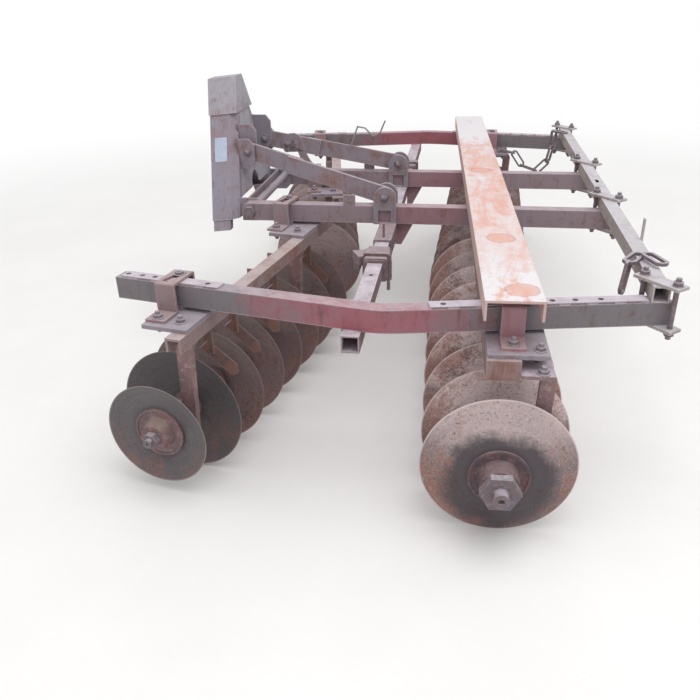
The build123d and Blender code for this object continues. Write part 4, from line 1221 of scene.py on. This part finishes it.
@dataclass
class WeldSeams:
    """Rippled weld beads where tubes and plates meet.

    Attributes:
        repeater: what copies the beads.
        steel: their finish.
        spacing: from bead to bead.
        bead: a bead's radius.
        uneven: how much the beads differ in size.
        tube: half the centre tube's width, and the height of its seams.
        beams: where those seams start and end under the beams.
        lug_x: the places of the brace lug's upright edges.
        lug_y: the places of the inner beam's sides.
        lug_z: how low and high the lug's seams reach.
        clevis_y: the clevis's middle, the way to its plates and half a plate's thickness.
        clevis_z: each plate's side, and how low and high its seams reach.
        gusset_x: the ends of the inner beam's gusset.
        gusset_y: its sides.
        gusset_z: the height of its seams.
        bend: the side beam's bend.
        runs: each run's far end, and its strip's start and end from the bend.
        strip: half a wear strip's width.
        stitch: a stitch's length and the way to the next, in millimetres.
        saddle: a saddle block's half length, half width and height.
        plate: a base plate's half length, and the height of its long seams.
    """

    repeater: Repeater
    steel: Material
    spacing: float = 0.0034
    bead: float = 0.0042
    uneven: float = 0.22
    tube: Pair = (0.0305, 0.669)
    beams: tuple[Pair, ...] = ((-0.372, -0.312), (-1.529, -1.468))
    lug_x: Pair = (-0.069, 0.035)
    lug_y: Pair = (-0.3725, -0.3115)
    lug_z: Pair = (0.673, 0.748)
    clevis_y: Point = (-0.165, 0.026, 0.0065)
    clevis_z: tuple[Point, ...] = ((-1, 0.877, 1.012), (1, 0.907, 1.072))
    gusset_x: Pair = (0.032, 0.112)
    gusset_y: Pair = (-0.348, -0.336)
    gusset_z: float = 0.6695
    bend: Point = (0.090, -1.517, 0.7505)
    runs: tuple[Point, ...] = ((-0.870, -1.318, 0.578, 0.960), (1.000, -1.349, 0.163, 0.848))
    strip: float = 0.0245
    stitch: tuple[int, int] = (46, 88)
    saddle: Point = (0.036, 0.031, 0.656)
    plate: Pair = (0.15, 0.6395)

    def pattern(self) -> Mesh:
        """Build one ripple of a bead, flattened along the seam.

        Returns:
            The mesh.
        """
        reach = self.bead
        low = [(0, -reach * 0.5), (reach * 0.8, -reach * 0.3), (reach, 0.0)]
        return lathe(low + [(reach * 0.75, reach * 0.35), (0, reach * 0.5)], 8)

    def on_plates(self) -> list[Seam]:
        """Find the seams of the left half's tube, lug, clevis and gusset.

        Returns:
            Each seam's start and end.
        """
        lines = []
        edge, under = self.tube
        for start, end in self.beams:
            for x in (-edge, edge):
                lines.append(((x, start, under), (x, end, under)))
        low, high = self.lug_z
        for x in self.lug_x:
            for y in self.lug_y:
                lines.append(((x, y, low), (x, y, high)))
        middle, off, half = self.clevis_y
        for side, low, high in self.clevis_z:
            for face in WAYS:
                y = middle + side * off + face * half
                lines.append(((mast_back(low), y, low), (mast_back(high), y, high)))
        start, end = self.gusset_x
        for y in self.gusset_y:
            lines.append(((start, y, self.gusset_z), (end, y, self.gusset_z)))
        shift = Vector((MIDDLE_X, 0, 0))
        return [(Vector(first) - shift, Vector(last) - shift) for first, last in lines]

    def on_strips(self) -> list[Seam]:
        """Find the stitches along the left beam's wear strips.

        Returns:
            Each stitch's start and end.
        """
        lines = []
        x, y, z = self.bend
        bend = Vector((x - MIDDLE_X, y, z))
        length, pitch = self.stitch
        for end_x, end_y, first, last in self.runs:
            along = (Vector((end_x - MIDDLE_X, end_y, z)) - bend).normalized()
            side = Vector((-along.y, along.x, 0)) * self.strip
            for start in range(round(first * 1000), round(last * 1000) - length + 1, pitch):
                for way in WAYS:
                    edge = bend + side * way
                    near, far = along * start / 1000, along * (start + length) / 1000
                    lines.append((edge + near, edge + far))
        return lines

    def on_gangs(self) -> list[Seam]:
        """Find the seams of the left saddle blocks and base plates.

        Returns:
            Each seam's start and end.
        """
        lines = []
        reach, half, foot = self.saddle
        for gang, seat in SEATS.items():
            for x, middle in seat.straps:
                for y in (middle - half, middle + half):
                    ends = (in_gang(gang, x + end * reach, y, foot) for end in WAYS)
                    lines.append(tuple(one.place for one in ends))
        reach, under = self.plate
        for gang, seat in SEATS.items():
            for _, middle in seat.straps:
                ends = (in_gang(gang, seat.seam, middle + end * reach, under) for end in WAYS)
                lines.append(tuple(one.place for one in ends))
        return lines

    def build(self) -> Object:
        """Lay the beads and let them ride on the frame.

        Returns:
            The finished piece.
        """
        spots = []
        for start, end in self.on_plates() + self.on_strips() + self.on_gangs():
            run = end - start
            count = max(2, int(run.length / self.spacing))
            for step in range(count + 1):
                spots.append(Spot(start + run * step / count, run, Vector((0.3, 0.5, 0.7))))
        beads = self.repeater.lay(
            "weld_seams", self.pattern(), both_sides(spots), self.steel, math.pi, self.uneven, 11,
        )
        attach(beads, "frame")
        return beads


@dataclass(frozen=True)
class SmoothDisc:
    """One concave disc, flat where the spools clamp it and sharpened from its convex side.

    Attributes:
        radius: the disc's radius.
        dish: +1 where the rim stands along the axis from the centre, -1 against it.
        flat: the flat centre's radius.
        sphere: the radius of the dish.
        thickness: the plate's thickness.
        edge: the sharpened edge's thickness.
        bevel: how wide the sharpened band is.
        rows: how many rings of faces the dish has on each side.
        sides: how many sides a turn has.
        smooth: the largest angle in degrees that is shaded smooth.
    """

    radius: float
    dish: int
    flat: float = 0.103
    sphere: float = 0.600
    thickness: float = 0.005
    edge: float = 0.0015
    bevel: float = 0.012
    rows: int = 10
    sides: int = 112
    smooth: float = 40

    def depth(self, radius: float) -> float:
        """How far the dish stands off the flat centre."""
        return math.sqrt(self.sphere**2 - self.flat**2) - math.sqrt(self.sphere**2 - radius**2)

    def pattern(self) -> Mesh:
        """Build the disc about the upright axis.

        Returns:
            The mesh.
        """
        half = self.thickness / 2
        inner = self.radius - self.bevel
        rings = [self.flat + (inner - self.flat) * row / self.rows for row in range(self.rows + 1)]
        convex = [(0, -half), (self.flat * 0.5, -half)] + [(r, self.depth(r) - half) for r in rings]
        concave = [(r, self.depth(r) + half) for r in reversed(rings)]
        concave += [(self.flat * 0.5, half), (0, half)]
        rim = self.depth(self.radius) + half
        profile = convex + [(self.radius, rim - self.edge), (self.radius, rim)] + concave
        return lathe([(r, self.dish * h) for r, h in profile], self.sides, self.smooth)


@dataclass
class DiscRows:
    """The smooth discs of all four gangs, in place of the faceted ones.

    Attributes:
        repeater: what copies the discs.
        steels: the finish for each gang's discs, by node name.
    """

    repeater: Repeater
    steels: dict[str, Material]

    def build(self) -> list[Object]:
        """Lay each gang's discs and let them turn with their rotor.

        Returns:
            The finished rows, the outermost disc of each gang by itself.
        """
        made = []
        for gang, size in GANG_SIZES.items():
            for side in Side:
                word = side.name.lower()
                node = f"{gang.value}_discs_{word}"
                rows = []
                sorts = ((0, 1, size.outer_radius), (1, size.discs, size.radius))
                for first, last, radius in sorts:
                    places = (number * DISC_PITCH for number in range(first, last))
                    spots = [in_gang(gang, 0, place, size.axle_z, (0, 1, 0)) for place in places]
                    if side is Side.RIGHT:
                        spots = [one.mirrored() for one in spots]
                    pattern = SmoothDisc(radius, size.dish).pattern()
                    name = f"{word}_{gang.value}_discs_from_{first}"
                    rows.append(self.repeater.lay(name, pattern, spots, self.steels[node]))
                for row in rows:
                    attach(row, f"{gang.value}_{word}_rotor")
                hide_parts(node)
                made += rows
        return made


@dataclass
class HookLink:
    """The bent flat bar that hangs over the right brace near the mast.

    Attributes:
        path: its middle line along the brace, as places along the machine and heights.
        half: half its width.
        thickness: how thick it is.
        start: where the brace starts, along and across the machine.
        lean: how far the brace runs outward for each metre to the rear.
        gap: from the brace's middle plane to its near face.
        bolt: its bolt's place along the machine and height.
        kit: its nut's sizes.
    """

    path: tuple[Pair, ...] = (
        (-0.594, 0.893), (-0.594, 0.925), (-0.588, 0.944), (-0.575, 0.953), (-0.559, 0.954),
        (-0.543, 0.946), (-0.533, 0.928), (-0.526, 0.900), (-0.519, 0.870), (-0.508, 0.842),
        (-0.493, 0.815), (-0.474, 0.792),
    )
    half: float = 0.019
    thickness: float = 0.009
    start: Pair = (-0.700, 0.165)
    lean: float = 0.2364
    gap: float = 0.0064
    bolt: Pair = (-0.594, 0.918)
    kit: BoltKit = BoltKit(across=0.013, height=0.010, washer=0.016, plate=0.002, stud=0.006)

    def on_brace(self, x: float, z: float, off: float) -> Vector:
        """A point off the brace's near face."""
        across = self.start[1] + (x - self.start[0]) * self.lean - self.gap - off
        return Vector((x - MIDDLE_X, across, z))

    def outline(self) -> list[Vector]:
        """Work out the flat shape's corners, rounded at both ends.

        Returns:
            The corners, as places along the machine and heights.
        """
        points = [Vector(point) for point in self.path]
        upper, lower, ends = [], [], []
        for before, point, after in zip(points[:1] + points, points, points[1:] + points[-1:]):
            along = (after - before).normalized()
            across = Vector((-along.y, along.x)) * self.half
            upper.append(point + across)
            lower.append(point - across)
        for point, inner in ((points[-1], points[-2]), (points[0], points[1])):
            along = (point - inner).normalized()
            across = Vector((-along.y, along.x))
            turns = [math.radians(degrees) for degrees in range(30, 180, 30)]
            ends.append([
                point + (across * math.cos(turn) + along * math.sin(turn)) * self.half
                for turn in turns
            ])
        return upper + ends[0] + lower[::-1] + ends[1]

    def build(self, repeater: Repeater, paint: Material, steel: Material) -> list[Object]:
        """Build the bar and its nut.

        Args:
            repeater: what sets the nut.
            paint: the bar's finish.
            steel: the nut's finish.

        Returns:
            The finished pieces.
        """
        corners = self.outline()
        faces = ([self.on_brace(x, z, off) for x, z in corners] for off in (SEATED, self.thickness))
        made = slab(*faces)
        bmesh.ops.triangulate(made, faces=made.faces)
        bmesh.ops.recalc_face_normals(made, faces=made.faces)
        mesh = plain(made, "hook")
        mesh.materials.append(paint)
        bar = piece("hook_link", mesh)
        outward = Vector((self.lean, -1, 0))
        seat = Spot(self.on_brace(*self.bolt, self.thickness), outward, Vector(UP))
        nut = repeater.lay("hook_link_nut", self.kit.pattern(), [seat], steel)
        for made_piece, slot in ((bar, Slot.RED_PAINT), (nut, Slot.BARE_STEEL)):
            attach(made_piece, "frame")
        return [bar, nut]


@dataclass
class LabelPlate:
    """The bare pale plate on the mast's left leg, held by four rivets.

    Attributes:
        start: its lower front corner, along the leg's face and up the leg.
        size: its width and height.
        thickness: how thick it is.
        corner: its corners' radius.
        inset: how far the rivets are in from its sides and its ends.
        rivet: a rivet's radius.
        leg: how far out the mast's legs stand at the foot.
        slope: how much nearer the middle they come for each metre up.
    """

    start: Pair = (0.021, 0.294)
    size: Pair = (0.061, 0.103)
    thickness: float = 0.0016
    corner: float = 0.006
    inset: Pair = (0.006, 0.007)
    rivet: float = 0.0022
    leg: float = 0.400
    slope: float = 0.355 / 0.655

    def on_leg(self, along: float, up: float, off: float) -> Vector:
        """Find a point on the left leg's outer face.

        Args:
            along: how far back along the face.
            up: how far up the leg.
            off: how far off the face.

        Returns:
            The point in the frame's axes.
        """
        step = math.hypot(1, self.slope)
        across = -(self.leg - self.slope * up) - off / step
        lean = Matrix.Rotation(-MAST_LEAN, 3, "Y")
        foot = Vector((MAST_FOOT[0] - MIDDLE_X, 0, MAST_FOOT[1]))
        return lean @ Vector((along, across, up + off * self.slope / step)) + foot

    def outline(self) -> list[Pair]:
        """Work out the plate's corners, each rounded.

        Returns:
            The corners, along the leg's face and up the leg.
        """
        width, height = self.size
        corners = []
        for way_x, way_y, first in ((1, 1, 0), (-1, 1, 90), (-1, -1, 180), (1, -1, 270)):
            for step in range(5):
                angle = math.radians(first + 22.5 * step)
                x = way_x * (width / 2 - self.corner) + self.corner * math.cos(angle)
                y = way_y * (height / 2 - self.corner) + self.corner * math.sin(angle)
                corners.append((self.start[0] + width / 2 + x, self.start[1] + height / 2 + y))
        return corners

    def build(self, finish: Material) -> Object:
        """Build the plate and its rivets.

        Args:
            finish: the plate's material.

        Returns:
            The finished piece.
        """
        corners = self.outline()
        faces = ([self.on_leg(x, y, off) for x, y in corners] for off in (SEATED, self.thickness))
        made = slab(*faces)
        (side, end), (width, height) = self.inset, self.size
        for x in (side, width - side):
            for y in (end, height - end):
                centre = self.on_leg(self.start[0] + x, self.start[1] + y, self.thickness)
                place = Matrix.Translation(centre)
                bmesh.ops.create_icosphere(made, subdivisions=2, radius=self.rivet, matrix=place)
        bmesh.ops.recalc_face_normals(made, faces=made.faces)
        mesh = plain(made, "label")
        mesh.materials.append(finish)
        plate = piece("label_plate", mesh)
        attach(plate, "frame")
        return plate


class Dresser:
    """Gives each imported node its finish."""

    RULES = (
        ("strips", "strip"), ("rear_tube", "worn"), ("centre_tube", "tube"),
        ("clamp_plates", "worn"), ("tube_clamp", "tube_clamp"), ("channel", "primer"),
        ("rear_spools", "greasy_casting"), ("spools", "casting"), ("bearing", "arm"),
        ("cross_shaft", "brace"), ("shaft", "bolt"),
        ("bolt", "bolt"), ("pin", "bolt"), ("chain", "bolt"), ("wire", "wire"),
        ("gang_beam", "gang_beam"), ("mast_head", "mast_head"), ("mast", "mast"),
        ("rear_straps", "red_strap"), ("straps", "strap"), ("plates", "plate"), ("brace", "brace"),
        ("inner_beam", "inner_beam"),
    )

    def __init__(self) -> None:
        """Build every finish."""
        self.ready = {key: finish.build() for key, finish in FINISHES.items()}
        self.discs = {}
        for side in Side:
            word = side.name.lower()
            # Each pale colour below is painted light on the upper part of the discs.
            front = DiscSteel(
                f"front_disc_{word}", Gang.FRONT, side, steel="76646A", outer="545255",
                tan="8A7476", pale="92807F", rust="8A665C", grease="484347", rim="A2968F",
                grease_reach=0.10, outer_count=2, outer_share=0.85, clean=0.065,
                patches=0.55, splashed=0.2,
            )
            rear = DiscSteel(
                f"rear_disc_{word}", Gang.REAR, side, steel="796A6C", outer="827170",
                tan="8E7C79", pale="D8C5C4", rust="99685A", grease="413B41", rim="D2C5C4",
                grease_reach=0.182, outer_count=1, outer_share=0.5, clean=0.02,
                patches=0.62, splashed=0.5, aged=0.065,
            )
            self.discs[f"front_discs_{word}"] = front.build()
            self.discs[f"rear_discs_{word}"] = rear.build()

    def finish_of(self, name: str) -> Material:
        """Choose a node's finish.

        Args:
            name: the node's name.

        Returns:
            The material.
        """
        if name in self.discs:
            return self.discs[name]
        for part, key in self.RULES:
            if part in name:
                return self.ready[key]
        return self.ready["side_beam"]

    def dress(self, nodes: dict[str, Object]) -> None:
        """Assign the materials.

        Args:
            nodes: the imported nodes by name.
        """
        for name, node in nodes.items():
            material = self.finish_of(name)
            node.data.materials.clear()
            node.data.materials.append(material)
            log.info("%s is finished in %s", name, material.name)


@dataclass
class Studio:
    """Pale floor, soft light and the camera.

    Attributes:
        floor_half: half the floor's side.
        ground: the floor's two tones.
        fade: how far off the floor starts and ends to turn white.
        place: the camera's place.
        yaw: the camera's turn from straight across the machine.
        pitch: how far it looks down.
        roll: its tilt.
        focus: the focal length in pixels.
        picture: how many pixels wide the picture is.
        sensor: the camera sensor's width in millimetres.
        reach: how far the camera sees.
        sky: the strength of the light from all round.
        key: the broad lamp's power.
        lamp: the broad lamp's place.
        lamp_size: how wide it is.
        lamp_aim: what it points at.
    """

    floor_half: float = 30.0
    ground: tuple[str, str] = ("F0EFEE", "F4F3F2")
    fade: Pair = (2.5, 7.0)
    place: Point = (0.32595 - MIDDLE_X, -3.58958, 1.66373)
    yaw: float = 0.160148
    pitch: float = 0.471524
    roll: float = -0.021632
    focus: float = 718.69
    picture: int = 700
    sensor: float = 36
    reach: float = 200
    sky: float = 0.84
    key: float = 165.0
    lamp: Point = (1.2, -1.9, 6.2)
    lamp_size: float = 5.0
    lamp_aim: Point = (0, 0, 0.4)

    def shown(self, tree: NodeTree) -> Socket:
        """White for the camera and in reflections, the sky's strength for all other light.

        Args:
            tree: the node tree that needs it.

        Returns:
            The strength socket.
        """
        rays = add_node(tree, "ShaderNodeLightPath").outputs
        total = rays["Is Camera Ray"]
        for name in ("Is Glossy Ray", "Is Transmission Ray"):
            values = {0: total, 1: rays[name]}
            total = add_node(tree, "ShaderNodeMath", values, operation="MAXIMUM").outputs[0]
        values = {"Value": total, "To Min": self.sky, "To Max": 1.0}
        return add_node(tree, "ShaderNodeMapRange", values).outputs[0]

    def floor(self) -> Object:
        """Make the floor, which turns into the white background further off.

        Returns:
            The floor.
        """
        mesh = bpy.data.meshes.new("floor")
        half = self.floor_half
        corners = [(-half, -half, 0), (half, -half, 0), (half, half, 0), (-half, half, 0)]
        mesh.from_pydata([Vector(corner) for corner in corners], [], [(0, 1, 2, 3)])
        floor = linked("floor", mesh)
        make = Shader("pale_floor")
        cloud = make.noise(1.4, 6, 0.6)
        colour = make.mix(make.step(cloud, 0.3, 0.7), *self.ground)
        material = make.finish(colour, make.step(cloud, 0.2, 0.8, 0.85, 0.95))
        away = make.node("ShaderNodeVectorMath", {0: make.place}, operation="LENGTH")
        far = make.step(away.outputs["Value"], *self.fade)
        values = {"Color": linear(WHITE), "Strength": self.shown(make.tree)}
        glow = make.node("ShaderNodeEmission", values)
        values = {0: far, 1: make.surface.outputs[0], 2: glow.outputs[0]}
        both = make.node("ShaderNodeMixShader", values)
        make.tree.links.new(both.outputs[0], make.output.inputs["Surface"])
        mesh.materials.append(material)
        return floor

    def lights(self) -> None:
        """Light the scene softly from the sky and a broad lamp."""
        world = bpy.data.worlds.new("studio")
        bpy.context.scene.world = world
        world.use_nodes = True
        tree = world.node_tree
        back = tree.nodes["Background"]
        back.inputs["Color"].default_value = linear(WHITE)
        tree.links.new(self.shown(tree), back.inputs["Strength"])
        lamp = bpy.data.lights.new("key", "AREA")
        lamp.shape = "DISK"
        lamp.size = self.lamp_size
        lamp.energy = self.key
        holder = linked("key", lamp)
        holder.location = self.lamp
        aim = Vector(self.lamp_aim) - holder.location
        holder.rotation_euler = aim.to_track_quat("-Z", "Y").to_euler()

    def camera(self) -> Object:
        """Stand the camera where the picture was taken.

        Returns:
            The camera.
        """
        ahead = math.cos(self.pitch)
        sideways, onward = -math.sin(self.yaw) * ahead, math.cos(self.yaw) * ahead
        forward = Vector((sideways, onward, -math.sin(self.pitch)))
        right = Vector((math.cos(self.yaw), math.sin(self.yaw), 0))
        down = forward.cross(right)
        level = right * math.cos(self.roll) - down * math.sin(self.roll)
        lower = down * math.cos(self.roll) + right * math.sin(self.roll)
        data = bpy.data.cameras.new("camera")
        data.sensor_width = self.sensor
        data.lens = self.focus * self.sensor / self.picture
        data.clip_end = self.reach
        camera = linked("camera", data)
        axes = Matrix((level, -lower, -forward)).transposed().to_4x4()
        camera.matrix_world = Matrix.Translation(Vector(self.place)) @ axes
        bpy.context.scene.camera = camera
        bpy.context.scene.view_settings.view_transform = "Standard"
        return camera


def main() -> None:
    """Build the pieces in order."""
    studio = Studio()
    studio.floor()
    studio.lights()
    studio.camera()
    dresser = Dresser()
    dresser.dress(frame["nodes"])
    repeater = Repeater()
    DiscRows(repeater, dresser.discs).build()
    Fasteners(repeater, dresser.ready["bolt"]).build()
    WeldSeams(repeater, dresser.ready["weld"]).build()
    HookLink().build(repeater, dresser.ready["brace"], dresser.ready["bolt"])
    LabelPlate().build(dresser.ready["label"])


if __name__ == "__main__":
    main()
